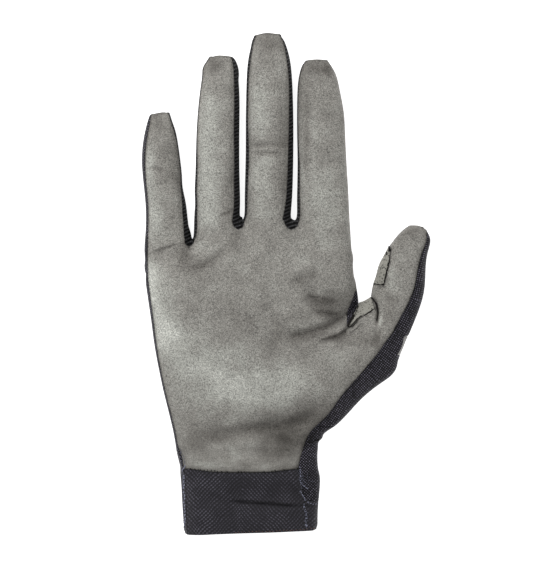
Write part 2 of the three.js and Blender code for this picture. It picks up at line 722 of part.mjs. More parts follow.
// A panel: its stretch of skin outside, the same stretch one wall further in, and a rim along its seams
function panelGeometry(name, wall) {
  const faces = skin.faces.filter((face) => face.panel === name);
  const edge = edgeOf(faces);
  const used = [...new Set(faces.flatMap((face) => face.corners))];
  const outer = new Map(used.map((i, n) => [i, n]));
  const inner = new Map(used.map((i, n) => [i, n + used.length]));
  const positions = [];
  for (const depth of [0, wall]) {
    for (const i of used) {
      const at = skin.points[i].clone().add(seamInset(i, edge)).addScaledVector(normals[i], -depth);
      positions.push(at.x, at.y, Math.max(at.z, 0));
    }
  }
  const triangles = [];
  for (const { corners } of faces) {
    const [a, b, c, d] = corners.map((i) => outer.get(i));
    const [e, f, g, h] = corners.map((i) => inner.get(i));
    triangles.push(a, b, c, a, c, d, e, g, f, e, h, g);
  }
  // Both panels at a seam split the twisted rim along the same diagonal, so their rims stay parallel.
  for (const [from, to] of edge.loose) {
    const corners = [outer.get(to), outer.get(from), inner.get(from), inner.get(to)];
    const [a, b, c, d] = from < to ? corners.slice(1).concat(corners[0]) : corners;
    triangles.push(a, b, c, a, c, d);
  }
  const geometry = new THREE.BufferGeometry();
  geometry.setAttribute('position', new THREE.Float32BufferAttribute(positions, 3));
  geometry.setIndex(triangles);
  geometry.computeVertexNormals();
  return geometry;
}

// Materials
const suede = new THREE.MeshStandardMaterial({ color: 0x918e89, roughness: 0.95 });
const patchSuede = new THREE.MeshStandardMaterial({ color: 0x8e8c83, roughness: 0.95 });
const blackMesh = new THREE.MeshStandardMaterial({ color: 0x302f34, roughness: 0.8 });
const ribKnit = new THREE.MeshStandardMaterial({ color: 0x262626, roughness: 0.85 });
const cuffKnit = new THREE.MeshStandardMaterial({ color: 0x313035, roughness: 0.85 });
const wipeCloth = new THREE.MeshStandardMaterial({ color: 0xbab7b3, roughness: 0.95 });

const PANELS = [
  { name: 'palm_panel', material: suede, wall: SUEDE_WALL },
  { name: 'back_panel', material: blackMesh, wall: MESH_WALL },
  { name: 'fourchette_pinky_ring', material: ribKnit, wall: MESH_WALL },
  { name: 'fourchette_ring_middle', material: ribKnit, wall: MESH_WALL },
  { name: 'fourchette_middle_index', material: ribKnit, wall: MESH_WALL },
  { name: 'thumb_back_panel', material: blackMesh, wall: MESH_WALL },
  { name: 'thumb_side_patch', material: patchSuede, wall: SUEDE_WALL },
  { name: 'thumb_crotch_patch', material: patchSuede, wall: SUEDE_WALL },
  { name: 'thumb_wipe_patch', material: wipeCloth, wall: SUEDE_WALL },
  { name: 'cuff_front', material: cuffKnit, wall: KNIT_WALL },
  { name: 'cuff_side_gusset', material: blackMesh, wall: MESH_WALL },
  { name: 'cuff_back', material: cuffKnit, wall: KNIT_WALL },
];

const glove = new THREE.Group();
for (const { name, material, wall } of PANELS) {
  const mesh = new THREE.Mesh(panelGeometry(name, wall), material);
  mesh.name = name;
  glove.add(mesh);
}

// The origin is the middle of the glove's footprint, on the surface that it lies on
const bounds = new THREE.Box3().setFromObject(glove);
const middle = bounds.getCenter(new THREE.Vector3());
glove.position.set(-middle.x, -middle.y, -bounds.min.z);

export default glove;
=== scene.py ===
import math
import random

import bmesh
import bpy
import numpy as np
from bpy.props import FloatProperty, FloatVectorProperty, PointerProperty
from bpy.types import Operator, Panel, PropertyGroup
from mathutils import Matrix, Vector, kdtree, noise
from mathutils.bvhtree import BVHTree


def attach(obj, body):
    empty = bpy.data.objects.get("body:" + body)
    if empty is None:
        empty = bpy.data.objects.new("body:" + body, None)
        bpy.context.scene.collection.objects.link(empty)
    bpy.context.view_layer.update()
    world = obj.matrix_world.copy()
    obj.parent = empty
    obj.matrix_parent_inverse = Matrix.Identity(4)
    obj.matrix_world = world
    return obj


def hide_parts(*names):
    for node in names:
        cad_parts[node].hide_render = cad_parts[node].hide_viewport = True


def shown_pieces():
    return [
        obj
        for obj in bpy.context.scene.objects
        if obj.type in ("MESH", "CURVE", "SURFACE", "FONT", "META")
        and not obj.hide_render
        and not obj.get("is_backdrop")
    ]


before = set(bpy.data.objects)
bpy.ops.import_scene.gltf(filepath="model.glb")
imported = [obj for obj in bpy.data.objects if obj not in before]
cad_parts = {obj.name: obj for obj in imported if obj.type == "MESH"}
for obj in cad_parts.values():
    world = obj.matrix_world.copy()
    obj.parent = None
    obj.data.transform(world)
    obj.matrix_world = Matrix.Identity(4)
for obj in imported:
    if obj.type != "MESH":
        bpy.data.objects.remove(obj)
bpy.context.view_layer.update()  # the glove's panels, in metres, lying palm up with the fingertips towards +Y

bl_info = {
    "name": "Sport Glove",
    "version": (1, 0, 0),
    "blender": (4, 5, 0),
    "location": "View3D > Sidebar > Glove",
    "description": "Dresses a full-finger sport glove in suede, mesh and knit cloth",
    "category": "Object",
}

MM = 0.001  # the tables below are in millimetres

# The photograph's frame on the surface that the glove lies on
FRAME_WIDTH_PX = 548
FRAME_HEIGHT_PX = 567
PIXEL = 0.48 * MM
VIEW_CENTRE = Vector((-5.97, 0.12, 8)) * MM
VIEW_DISTANCE = 1.6

# How a panel's seams are made
MERGE_WITHIN = 0.02 * MM
QUAD_ANGLE = math.radians(40)
RIM_ANGLE = math.radians(50)
EDGE_ROUNDING = 0.22 * MM
ROLL_DEPTH = 0.35
ROLL_REACH = 1.1

# The heights between which the cloth's upper side begins, and how upright the normal of a flat face is
UPPER_SIDE = (3, 8)
FLAT_NORMAL = 0.6

# Uneven swells of the cloth: size, height and a shift of the noise
PALM_SWELLS = ((13, 0.55, 3.1), (5, 0.16, 7.7))
CUFF_SWELL = (9, 0.5, 11.3)
SIDE_SWELL = (8, 0.3, 5.9)

# Shares of its width that a fold has on its curve's left and right, and at which its ridge stands
SHARP_SIDE = 0.6
SOFT_SIDE = 1.25
RIDGE_AWAY = 1.5

# Folds narrower than this are sharp: faces within these many widths of them are split, twice
NARROW_FOLD = 2.1
SPLIT_REACHES = (2.6, 1.6)
SPLIT_ABOVE = 5

# Folds of the suede: a curve from start to end in the photograph, pulled towards bend. depth is how far
# the cloth sinks, ridge how far it rises on the curve's left, shade how much painted shade darkens its
# colour in the groove, and fade the share of its length over which each end runs out.
FOLD = ("start", "bend", "end", "width", "depth", "ridge", "shade", "fade")
PALM_FOLDS = (
    ((306, 305), (324, 295.5), (346, 306), 2.4, 1, 0.4, 0.14, 0.4),
    ((322, 293.5), (330, 289.5), (339, 299), 1.1, 0.4, 0.2, 0.05, 0.35),
    ((310, 311.5), (328, 313), (346, 317), 2.5, 2, 0.3, 0.18, 0.3),
    ((284, 337.5), (322, 332.5), (350, 312.5), 2.4, 2.2, 0.7, 0.18, 0.2),
    ((314, 341), (337, 339.5), (350, 328), 1.7, 1.5, 0.3, 0.16, 0.25),
    ((290, 286), (305, 271), (324, 275), 2.6, 1.1, 0.2, 0.14, 0.35),
    ((370.6, 295.5), (382.5, 306), (375, 328), 0.9, 1.6, 0, 0.3, 0.2),
    ((384, 318), (379, 334), (374, 350), 1.6, 0.7, 0, 0.1, 0.4),
    ((200, 436), (246, 434), (292, 416), 3.6, 1.5, 0.3, 0.06, 0.4),
    ((262, 428), (292, 428), (320, 410), 4.2, 1.6, 0, 0.08, 0.4),
    ((195, 450), (246, 452), (302, 447), 3, 1.3, 0.3, 0.06, 0.4),
    ((147, 170), (157, 166), (166, 172), 1.1, 0.7, 0.2, 0.1, 0.3),
    ((249, 146.5), (268, 143.5), (286, 147), 0.9, 0.6, 0.3, 0.08, 0.3),
    ((250, 154), (266, 152.5), (284, 155), 1.1, 0.6, 0.2, 0.08, 0.3),
    ((318, 119), (330, 112), (341, 116), 1.9, 0.5, 0.1, 0.05, 0.35),
    ((316, 163), (330, 165), (342, 158), 1.8, 0.5, 0.1, 0.06, 0.35),
    ((147, 255.5), (164, 248.5), (183, 244.5), 1.3, 0.8, 0.3, 0.06, 0.4),
    ((190, 268.5), (212, 268), (235, 238), 2.3, 1.4, 0.4, 0.1, 0.3),
    ((218, 217), (225, 214), (233, 211), 0.9, 0.5, 0.1, 0.1, 0.35),
    ((385, 293), (392, 301), (404, 302), 2.2, 0.8, 0.1, 0.08, 0.4),
)

# Painted light and shade on the suede, partly its nap's own tone and mostly the lighter and darker
# places of its shape under the light, with painted shade in creases, crotches and at the fingertips: middle
# and half widths in the photograph, tone, turn
NAP_AND_SHADING_SPOT = ("x", "y", "half_x", "half_y", "tone", "turn")
PALM_NAP_AND_PAINTED_SHADING = (
    (167, 338, 8, 14, -0.07),
    (158, 304, 9, 14, 0.05),
    (331, 368, 18, 13, 0.05),
    (396, 241, 7, 10, -0.1),
    (160, 185, 14, 50, -0.035),
    (200, 260, 12, 8, -0.05),
    (356.6, 327.4, 5.5, 1.1, 0.07, 47),
    (255, 312, 48, 22, -0.05),
    (321, 305, 18, 9, -0.17),
    (320, 299.5, 11, 3.2, -0.15, -3),
    (328, 313.5, 11, 2.8, -0.13, 6),
    (290, 450, 22, 20, -0.16),
    (236, 452, 22, 6, 0.09, -6),
    (196, 434, 16, 9, -0.07),
    (198, 462, 12, 6, 0.04, 10),
    (358, 339, 16, 8, -0.11),
    (334, 337, 16, 5, -0.17, -8),
    (376, 340, 6, 9, -0.15),
    (380, 322, 2.2, 7, 0.22, -6),
    (390, 314, 10, 12, -0.09),
    (389, 278, 7, 15, 0.1),
    (413, 232, 15, 9, -0.21),
    (160, 222, 8, 14, 0.06),
    (156, 116.8, 6, 3.6, -0.15),
    (160, 124, 8, 9, -0.06),
    (214, 61, 7, 5, -0.16),
    (214, 67.5, 10, 9, -0.13),
    (307.6, 128, 2.6, 34, -0.1),
    (300.6, 165, 2.4, 24, 0.13),
    (269, 44, 13, 13, -0.22),
    (257, 41, 5, 5, -0.06),
    (268, 141, 18, 4, -0.04),
    (314, 68, 11, 8, -0.2),
    (328, 68, 6, 8, -0.24, 20),
    (312, 88, 18, 18, -0.1),
    (305, 130, 4, 36, -0.08),
    (316, 190, 11, 22, 0.12),
    (327, 212, 8, 20, 0.06),
    (184, 252, 9, 12, -0.19),
    (188, 271, 13, 6, -0.06),
    (204, 247, 12, 10, 0.07, 20),
    (297, 283, 10, 5, -0.08, -20),
    (194, 268, 17, 12, -0.1),
    (205, 306, 14, 15, -0.04),
    (318, 248, 18, 15, 0.05),
    (234, 356, 27, 10, 0.07),
    (206, 342, 9, 8, 0.05),
    (232, 440, 12, 6, 0.11),
    (210, 461, 12, 5, -0.07),
    (268, 420, 13, 5, 0.06),
    (392, 272, 8, 16, 0.04),
    (262, 87, 7, 14, 0.06),
    (342, 112, 4, 12, -0.06),
    (145, 140, 3.5, 13, 0.11),
    (145, 198, 3.5, 20, 0.08),
    (160, 134, 6, 20, -0.06),
    (199, 200, 6, 34, 0.08),
    (212, 206, 7, 28, 0.05),
    (225, 209, 5, 18, -0.11),
    (221, 92, 8, 20, -0.06),
    (236, 236, 8, 9, -0.12),
    (284, 236, 12, 9, -0.08),
    (268, 160, 11, 9, 0.07),
    (331, 204, 14, 26, 0.06),
)

# Painted light and shade along curves, partly nap tone: start, bend and end in the photograph, half width
# in millimetres, tone and fade
NAP_AND_SHADING_BAND = ("start", "bend", "end", "width", "tone", "fade")
PALM_BANDS = (
    ((150, 252), (151, 318), (178, 350), 7, 0.2, 0.2),
    ((148, 226), (148, 268), (153, 312), 2.6, 0.09, 0.15),
    ((176, 388), (230, 406), (302, 398), 5, 0.07, 0.2),
    ((160, 312), (172, 372), (238, 378), 10.5, 0.18, 0.2),
    ((206, 380), (262, 396), (322, 372), 8.5, 0.2, 0.3),
    ((255, 336), (290, 348), (326, 340), 5, -0.1, 0.3),
    ((347, 235), (350, 262), (352, 292), 3, -0.06, 0.3),
    ((172, 438), (250, 440), (345, 401), 4.2, -0.14, 0.15),
    ((240, 438), (290, 444), (340, 412), 7, -0.18, 0.3),
    ((380, 330), (364, 352), (330, 388), 4, -0.08, 0.3),
    ((206, 84), (211, 160), (210, 236), 6, 0.15, 0.15),
    ((233, 110), (233, 180), (229, 232), 2.4, -0.07, 0.3),
    ((258, 78), (261, 110), (258, 136), 4.6, 0.11, 0.3),
    ((260, 152), (265, 190), (258, 230), 4.8, 0.1, 0.2),
    ((282, 90), (281, 150), (283, 220), 3, -0.11, 0.25),
    ((145, 138), (149, 190), (156, 240), 4.2, 0.15, 0.2),
    ((170, 124), (176, 170), (181, 204), 3.2, -0.09, 0.3),
)

# The cuff: its left seam and how far from it swells begin, the tone of its left end and how it darkens
# to the right, its folds, and how far its front is drawn to its back at the seam
CUFF_SEAM_PX = 184
CUFF_SEAM_REACH = 6
CUFF_LIGHT = 0.12
CUFF_DIM = 0.27
CUFF_DIM_RUN = (-45, -26)
# The cuff folds' shade is painted shade in their grooves
CUFF_FOLDS = (
    ((224, 500.5), (262, 502.5), (306, 506.5), 0.9, 1.4, 0.6, 0.6, 0.25),
    ((296, 506), (310, 506), (324, 507), 0.9, 0.6, 0.3, 0.3, 0.3),
    ((282, 480), (296, 488), (300, 503), 2.4, 0.8, 0.2, 0.3, 0.4),
    ((202, 492), (217, 500), (232, 501), 2.4, 0.6, 0.1, 0.1, 0.4),
)
CUFF_LEFT_SEAM = ((183.9, 469), (186.2, 490), (187.5, 535))
SEAM_DRAW = 0.28
SEAM_DRAW_REACH = 1.5

# The crotches between the fingers: middle in the photograph and radius in millimetres, how quickly the
# cloth beside them closes up, and the heights between which the side strips are rounded with them
CROTCH = ("x", "y", "radius")
CROTCHES = ((189.6, 241, 2.15), (238.5, 222.6, 2.95), (291.2, 221.8, 3.4))
CROTCH_SPREAD = 0.25
STRIP_CROTCH_RUN = (5, 7.5)

# The ribs of the fingers' side strips: height, slope, and the heights between which they rise
RIB_HEIGHT = 0.16
RIB_SLANT = 0.2
RIB_RUN = (1.5, 4)

# The seam of the patch on the thumb's side: height in the photograph, the outline there, and where the
# seam lies before and after it is drawn in
PATCH_SEAM = ("y", "outline", "before", "after")
PATCH_SEAMS = (
    (236, 397, 407, 407),
    (249.2, 387.8, 399.5, 389.8),
    (261.6, 380.2, 393.1, 388.6),
    (275.2, 375.2, 387.6, 385.6),
    (287.9, 372.2, 383.9, 383.6),
    (300, 371, 382, 382),
)
PATCH_REACH = 18 * PIXEL / MM

# The seam between suede and mesh in the photograph, from the thumb's tip to the cuff: the rows of the
# mesh follow it
THUMB_SEAM = (
    (428.5, 212), (425.6, 238), (423, 250), (416, 275), (411, 298), (398, 322),
    (383, 346), (365, 370), (341, 394), (326, 418), (317, 429), (303, 448),
    (301, 466),
)

# Small shifts of the cloth, in the photograph's pixels: middle, reach, shift, and the nodes, if not all
NUDGE = ("x", "y", "reach", "dx", "dy", "nodes")
NUDGES = (
    (184, 471, 21, 0, -3.3),
    (151.5, 115.2, 2.4, -0.7, -0.9),
    (301, 471, 24, 0, -3.4),
    (384, 288, 7, 0, -3),
    (345.8, 330.5, 6, 1.5, -3.6),
    (182.8, 241.5, 5, 2, 0, "palm"),
    (355.8, 295.6, 5, -0.3, -4.2),
    (349, 300.5, 5, 2.2, 0.5, "palm"),
    (347.5, 319, 4, 1.7, 0, "palm"),
    (357, 322, 4.5, -0.8, -1.2, "palm"),
    (422.5, 228.5, 5, 3.2, 0.5, "palm"),
    (376, 275, 7, 1.2, 0),
    (401, 346, 11, 1.6, 0, "thumb_back"),
    (400, 360, 7, -1.6, 0, "thumb_back"),
    (424.5, 278, 18, 0.9, 0, "thumb_back"),
    (404, 338, 4, -0.9, 0, "thumb_back"),
    (407.5, 337, 4, 0.3, 0, "thumb_wipe"),
    (401, 353.5, 4, -0.5, 0, "thumb_wipe"),
    (397, 327, 10, -1.9, 0),
    (404, 315, 8, -1.2, 0),
    (421.8, 226, 3, 0.5, 1.3),
    (425.4, 230, 3, 1, 0),
    (389.5, 249, 4, -0.8, 0),
    (182, 466, 16, -0.8, 0),
    (184, 459, 9, 2.2, 0, "palm"),
    (317, 499.5, 4, 0, 1.6, "cuff_side"),
    (143, 160, 34, -0.8, 0),
    (146, 245, 36, -0.7, 0),
    (145, 250, 14, -1, 0, "back"),
    (183, 186, 10, -0.9, 0),
    (196.5, 205, 10, 0.7, 0),
    (212, 56, 3, 0.8, 0.6),
    (204.5, 68, 6, -1.2, -0.5),
    (232, 56, 3, -0.4, 0.8),
    (219, 57, 9, 0, -0.8),
    (150.5, 114.5, 3, 0.6, 0.8),
    (167.6, 112.6, 2.6, -0.6, 0.8),
    (160, 113, 8, 0, -0.6),
    (255.5, 35.5, 3, 0.8, 0.7),
    (267, 34.5, 8, 0, -1.5),
    (283, 35, 3, -0.8, 0.8),
    (304, 60.5, 3, 0.8, 0.7),
    (317, 60, 8, 0, -0.8),
    (334, 76, 12, 0.9, -0.3),
    (343, 112, 18, 0.6, 0),
    (347, 185, 30, 0.6, 0),
    (352, 255, 24, 0.7, 0),
    (336, 423, 14, 0.6, 0.7),
    (241.5, 218.5, 3.2, 0, -1.4, "fourchette"),
    (294, 219.5, 4, 0, -1.6, "fourchette"),
    (192, 239.5, 2.5, 0, -0.8, "fourchette"),
    (200, 534, 16, 0, 0.6),
    (184.5, 534.5, 2.6, 0.8, -0.7),
    (318, 530.5, 3.4, -1.4, -0.9),
    (320.6, 437.6, 2.8, 1.1, 0.4),
    (317.8, 443.6, 3.2, -0.8, 0),
)

# Threads: points in the photograph, and pitch, length, zigzag, radius and unevenness of the stitches
THREAD_PATH = ("points", "pitch", "length", "zigzag", "radius", "uneven")
PALE_THREAD = (
    (((185.2, 465.6), (182.6, 470.6)), 1.2, 1.7, 0.1, 0.24, 0.1),
    (((184.4, 475), (184.4, 490), (184.8, 508), (185.5, 527)), 1.62, 1.4, 0.48, 0.31, 0.4),
    (((299.6, 467), (300.8, 481.2), (303.6, 485.5), (308.6, 489.2)), 0.9, 0.7, 0.3, 0.21, 0.5),
    (((300.4, 490.6), (302.8, 495), (304.8, 499.4), (308.2, 502)), 0.95, 0.85, 0.2, 0.24, 0.4),
    (((308.6, 502.2), (312.6, 503.2), (316.8, 503.9)), 1.25, 0.65, 0.2, 0.24, 0.5),
    (((303.5, 504), (305.8, 510.8), (305.4, 519.6), (306, 529)), 0.9, 1, 0.5, 0.22, 0.7),
)
GREY_THREAD = (
    (((181, 449), (183.4, 455), (184.9, 460.5), (185.4, 466)), 1, 0.8, 0.3, 0.2, 0.4),
    (((180.6, 452), (181.6, 459), (182.2, 466)), 1, 0.8, 0.5, 0.18, 0.5),
    (((182.7, 470), (182.9, 488), (183.5, 510), (184.3, 530)), 0.9, 1.2, 0.6, 0.2, 0.4),
    (((301.4, 469), (302.6, 477), (304.6, 482), (308.6, 485.5)), 0.85, 0.7, 0.4, 0.19, 0.6),
    (((298.8, 472), (299.6, 481), (301.6, 488)), 0.85, 0.7, 0.4, 0.19, 0.6),
    (((304.2, 506), (306.6, 513), (306.8, 521), (306.8, 528)), 0.85, 0.9, 0.6, 0.19, 0.7),
    (((306.5, 474), (309, 480), (313.5, 482)), 1, 0.6, 0.4, 0.16, 0.6),
    (((299.8, 472), (301, 477), (302.4, 483)), 0.75, 0.6, 1, 0.2, 0.7),
    (((301.2, 481), (303.4, 485.6), (307.4, 489)), 0.75, 0.6, 0.7, 0.19, 0.7),
    (((305, 510), (305.2, 517), (306.2, 526)), 0.75, 0.7, 1.1, 0.21, 0.8),
)
HEM_THREAD = (
    (((236, 531.6), (264, 530.6), (303, 529.2), (316, 527.6)), 1.62, 0.7, 0.2, 0.22, 0.4),
)
# Black thread of the seams and stitches, and painted shadow as well: black cords also fill the shadowed gaps
# along the thumb patches' seams and lie in the crotch patch's right fold, where there is only its shade
DARK_THREAD_AND_SHADOW = (
    (((388.6, 246.2), (389.8, 249), (390, 253), (388.8, 261), (386.7, 270), (384.7, 279.6),
      (383.8, 284.2), (379, 284.6), (374.6, 284)),
     0.5, 1.2, 0, 0.33, 0.1),
    (((347.2, 326), (349.4, 327), (352.2, 324), (356.1, 319.5), (359.4, 317.1), (365.5, 314.4),
      (368.8, 312.2), (373.2, 309.3)),
     0.5, 1.1, 0, 0.26, 0.15),
    (((370.4, 296.3), (373.2, 298.8), (376, 303.8), (377.6, 308.8), (378.2, 312.6), (377.6, 316.5),
      (376.4, 320)),
     0.5, 1.3, 0, 0.34, 0.1),
    (((376, 303.8), (377.6, 308.8), (378.1, 313.5)), 0.4, 1.5, 0, 0.5, 0.1),
    (((353, 315.4), (351.4, 319), (349.4, 322.8), (347.6, 326.2)), 0.4, 1.2, 0, 0.6, 0.1),
    (((304.6, 445.6), (308.8, 440.4), (314, 434), (318, 429)), 0.8, 0.9, 0.9, 0.36, 0.7),
    (((308.4, 442), (313, 441), (319.6, 439)), 0.7, 0.9, 0.9, 0.42, 0.7),
    (((347, 325.8), (350.2, 322.8), (353.2, 318.6), (356, 312), (358.6, 305.5)),
     0.5, 1, 0, 0.18, 0.15),
    (((188, 468.6), (204.7, 469.3), (219.6, 471), (242, 471.6), (264, 471.2), (283, 469.6),
      (299, 467.8)),
     1.6, 1.2, 0.8, 0.24, 0.4),
    (((389.5, 247), (389.3, 251)), 0.6, 1.1, 0.2, 0.5, 0.3),
    (((386.6, 253), (387.4, 255)), 0.6, 0.9, 0.2, 0.4, 0.3),
)

# How stitches are laid: seed, spread of their length, share of the radius between their middle and the
# cloth, and a height in metres above the whole glove
THREAD_SEED = 7
STITCH_SPREAD = (-0.8, 0.5)
STITCH_LIFT = 0.45
ABOVE_GLOVE = 0.1

# Shares of the suede's mean red, green and blue at places between its darkest and lightest tone
SUEDE_TONES = (
    (0.1, (0.255, 0.245, 0.24)),
    (0.3, (0.54, 0.53, 0.525)),
    (0.5, (0.94, 0.945, 0.945)),
    (0.65, (1.32, 1.37, 1.37)),
    (0.8, (1.78, 1.86, 1.87)),
)

# The same for the other cloths, with one share for all three
PEBBLE_TONES = ((0.2, 0.25), (0.6, 0.8), (1, 1.15), (1.3, 1.6))
WIPE_TONES = ((0.3, 0.6), (0.75, 1.3))
MESH_TONES = ((0, 0.15), (0.45, 1.4), (1, 6.4))
RIB_TONES = ((0, 0.1), (0.6, 0.95), (1, 4.2))
KNIT_TONES = ((0, 0.3), (0.5, 1.15), (1, 3.5))
THREAD_TONES = ((0.3, 0.55), (0.7, 1.2))
GREY_SHARE = 0.4
HEM_COLOUR = (0.15, 0.08, 0.065)
DARK_THREAD_AND_SHADOW_COLOUR = (0.009, 0.008, 0.007)

# The suede: a grain's width in speckles, a cloud's width, where along the glove in metres its worn end
# turns into the rest, and the width and stretch of the streaks there
GRAIN_SPECKLES = 2.6
CLOUD_SIZE = 9
WORN_RUN = (-0.085, -0.055)
STREAK_SIZE = 7
STREAK_SCALE = (0.45, 1.2, 1)

# Widths of a pebble and of the mesh's uneven places and patches, and for the cuff's knit where it first
# turns, how wide its bands are and how far their edges wander
PEBBLE_SIZE = 1.25
MESH_UNEVEN = 1.4
MESH_PATCH = 11
HERRINGBONE_TURN_PX = 198
HERRINGBONE_BAND = 21
HERRINGBONE_WANDER = 4

# Soft boxes: middle in metres, size in metres, power in watts
LIGHTS = {
    "Key light": {"at": (-0.55, 0.75, 0.75), "size": 0.6, "power": 10.0},
    "Fill light": {"at": (0.6, -0.3, 0.9), "size": 0.8, "power": 2.4},
}
WHITE = (1, 1, 1, 1)
WORLD_BRIGHTNESS = 0.38
FLOOR_SIZE = 6
FLOOR_DROP = 0.02 * MM
FLOOR_GLOW = 0.85
FLOOR_PAPER = ((0, (0.9, 0.9, 0.9)), (1, (0.93, 0.93, 0.93)))
SENSOR_WIDTH = 36
FAR_CLIP = 20


def on_glove(x, y):
    """The place in millimetres that a point of the photograph shows."""
    across = (x - FRAME_WIDTH_PX / 2) * PIXEL / MM + VIEW_CENTRE.x / MM
    along = (FRAME_HEIGHT_PX / 2 - y) * PIXEL / MM + VIEW_CENTRE.y / MM
    return np.array((across, along))


def named_rows(columns, rows):
    """The rows of a table as dictionaries by column name."""
    return [dict(zip(columns, row)) for row in rows]


def smoothstep(values, low, high):
    """0 below low, 1 above high, and smooth in between."""
    share = np.clip((values - low) / (high - low), 0, 1)
    return share * share * (3 - 2 * share)


# Meshes

def merged_copy(node):
    """A bmesh of a CAD panel, with its loose triangles merged and paired into quads."""
    bm = bmesh.new()
    bm.from_mesh(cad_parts[node].data)
    bmesh.ops.remove_doubles(bm, verts=bm.verts, dist=MERGE_WITHIN)
    bmesh.ops.join_triangles(
        bm, faces=bm.faces, angle_face_threshold=QUAD_ANGLE, angle_shape_threshold=QUAD_ANGLE
    )
    return bm


def crease_layer(bm):
    layers = bm.edges.layers.float
    return layers.get("crease_edge") or layers.new("crease_edge")


def crease_rims(bm):
    """Keeps the panel's cut edges sharp while its faces are subdivided."""
    crease = crease_layer(bm)
    for edge in bm.edges:
        if edge.is_manifold and edge.calc_face_angle(0.0) > RIM_ANGLE:
            edge[crease] = 1.0


def smooth_place(vert, crease):
    """Where repeated subdivision would carry a vertex."""
    rim = [e.other_vert(vert).co for e in vert.link_edges if e[crease] > 0.5]
    if len(rim) == 2:
        return (rim[0] + rim[1] + 4 * vert.co) / 6
    if rim:
        return vert.co.copy()
    count = len(vert.link_edges)
    middles = sum(((e.verts[0].co + e.verts[1].co) / 2 for e in vert.link_edges), Vector())
    centres = sum((f.calc_center_median() for f in vert.link_faces), Vector())
    return ((count - 3) * vert.co + (middles + centres) * (4 / count)) / (count + 5)


def hold_outline(bm):
    """Moves each vertex against its own smoothing, so that the smooth cloth keeps the panel's size."""
    crease = crease_layer(bm)
    moves = [(vert, vert.co - smooth_place(vert, crease)) for vert in bm.verts]
    for vert, move in moves:
        vert.co += move


def object_of(bm, name):
    """An object at the origin with the bmesh as its mesh."""
    mesh = bpy.data.meshes.new(name)
    bm.to_mesh(mesh)
    bm.free()
    obj = bpy.data.objects.new(name, mesh)
    bpy.context.scene.collection.objects.link(obj)
    return obj


def subdivide(obj, levels):
    """Applies a subdivision surface of that many levels."""
    modifier = obj.modifiers.new("Subdivision", "SUBSURF")
    modifier.levels = levels
    modifier.render_levels = levels
    depsgraph = bpy.context.evaluated_depsgraph_get()
    smooth = bpy.data.meshes.new_from_object(obj.evaluated_get(depsgraph), depsgraph=depsgraph)
    obj.modifiers.clear()
    old = obj.data
    obj.data = smooth
    bpy.data.meshes.remove(old)
    smooth.name = obj.name


def vertex_array(mesh):
    """The mesh's vertices in millimetres."""
    found = np.zeros(len(mesh.vertices) * 3, np.float32)
    mesh.vertices.foreach_get("co", found)
    return found.reshape(-1, 3).astype(float) / MM


def set_vertices(mesh, places):
    mesh.vertices.foreach_set("co", (places * MM).astype(np.float32).ravel())
    mesh.update()


def set_attribute(mesh, name, values):
    """Stores one number for each vertex, for the materials to read."""
    made = mesh.attributes.new(name, "FLOAT", "POINT")
    made.data.foreach_set("value", np.asarray(values, np.float32))


def rim_vertices(mesh):
    """The indices of the vertices on the panel's cut edge."""
    bm = bmesh.new()
    bm.from_mesh(mesh)
    rim = sorted({v.index for e in bm.edges if e.calc_face_angle(0.0) > RIM_ANGLE for v in e.verts})
    bm.free()
    return rim


def seam_distances(places, rim):
    """How far each vertex is from its panel's cut edge, in millimetres."""
    tree = kdtree.KDTree(len(rim))
    for i in rim:
        tree.insert(Vector(places[i]), i)
    tree.balance()
    return np.array([tree.find(Vector(place))[2] for place in places])


def curve_points(start, bend, end, count=64):
    """Points on the curve from start to end that is pulled towards bend, and its directions there."""
    share = np.linspace(0, 1, count)[:, None]
    a, b, c = (on_glove(*p) for p in (start, bend, end))
    points = (1 - share) ** 2 * a + 2 * share * (1 - share) * b + share**2 * c
    runs = 2 * (1 - share) * (b - a) + 2 * share * (c - b)
    return points, runs / np.linalg.norm(runs, axis=1)[:, None]


def beside_curve(places, start, bend, end):
    """For each place, its distance from the curve, positive on the left, and its share along it."""
    points, runs = curve_points(start, bend, end)
    offsets = places[:, None, :2] - points[None]
    nearest = np.argmin((offsets**2).sum(2), axis=1)
    rows = np.arange(len(places))
    offset, run = offsets[rows, nearest], runs[nearest]
    side = run[:, 0] * offset[:, 1] - run[:, 1] * offset[:, 0]
    away = np.sign(side) * np.linalg.norm(offset, axis=1)
    inside = (nearest > 0) & (nearest < len(points) - 1)
    return np.where(inside, side, away), nearest / (len(points) - 1)


def round_crotches(places, weight):
    """Widens the pointed cuts between the fingers to round ones."""
    for crotch in named_rows(CROTCH, CROTCHES):
        offset = places[:, :2] - on_glove(crotch["x"], crotch["y"])
        away = np.maximum(np.linalg.norm(offset, axis=1), 1e-6)
        radius = crotch["radius"]
        wanted = np.maximum(away, radius + CROTCH_SPREAD * (away - 0.5 * radius))
        below = smoothstep(-offset[:, 1], -0.3 * radius, 0.5 * radius) * weight
        share = 1 + (wanted / away - 1) * below
        places[:, :2] += offset * (share - 1)[:, None]


def draw_in_patch(places):
    """Moves the seam of the thumb's side patch to where the photograph shows it."""
    rows = named_rows(PATCH_SEAM, reversed(PATCH_SEAMS))
    heights = [on_glove(0, row["y"])[1] for row in rows]
    outline, before, after = (
        np.interp(places[:, 1], heights, [on_glove(row[name], 0)[0] for row in rows])
        for name in ("outline", "before", "after")
    )
    inner = np.clip((places[:, 0] - outline) / (before - outline), 0, 1)
    outer = smoothstep(before + PATCH_REACH - places[:, 0], 0, PATCH_REACH)
    places[:, 0] += (after - before) * np.minimum(inner, outer) * smoothstep(places[:, 2], 2, 5)


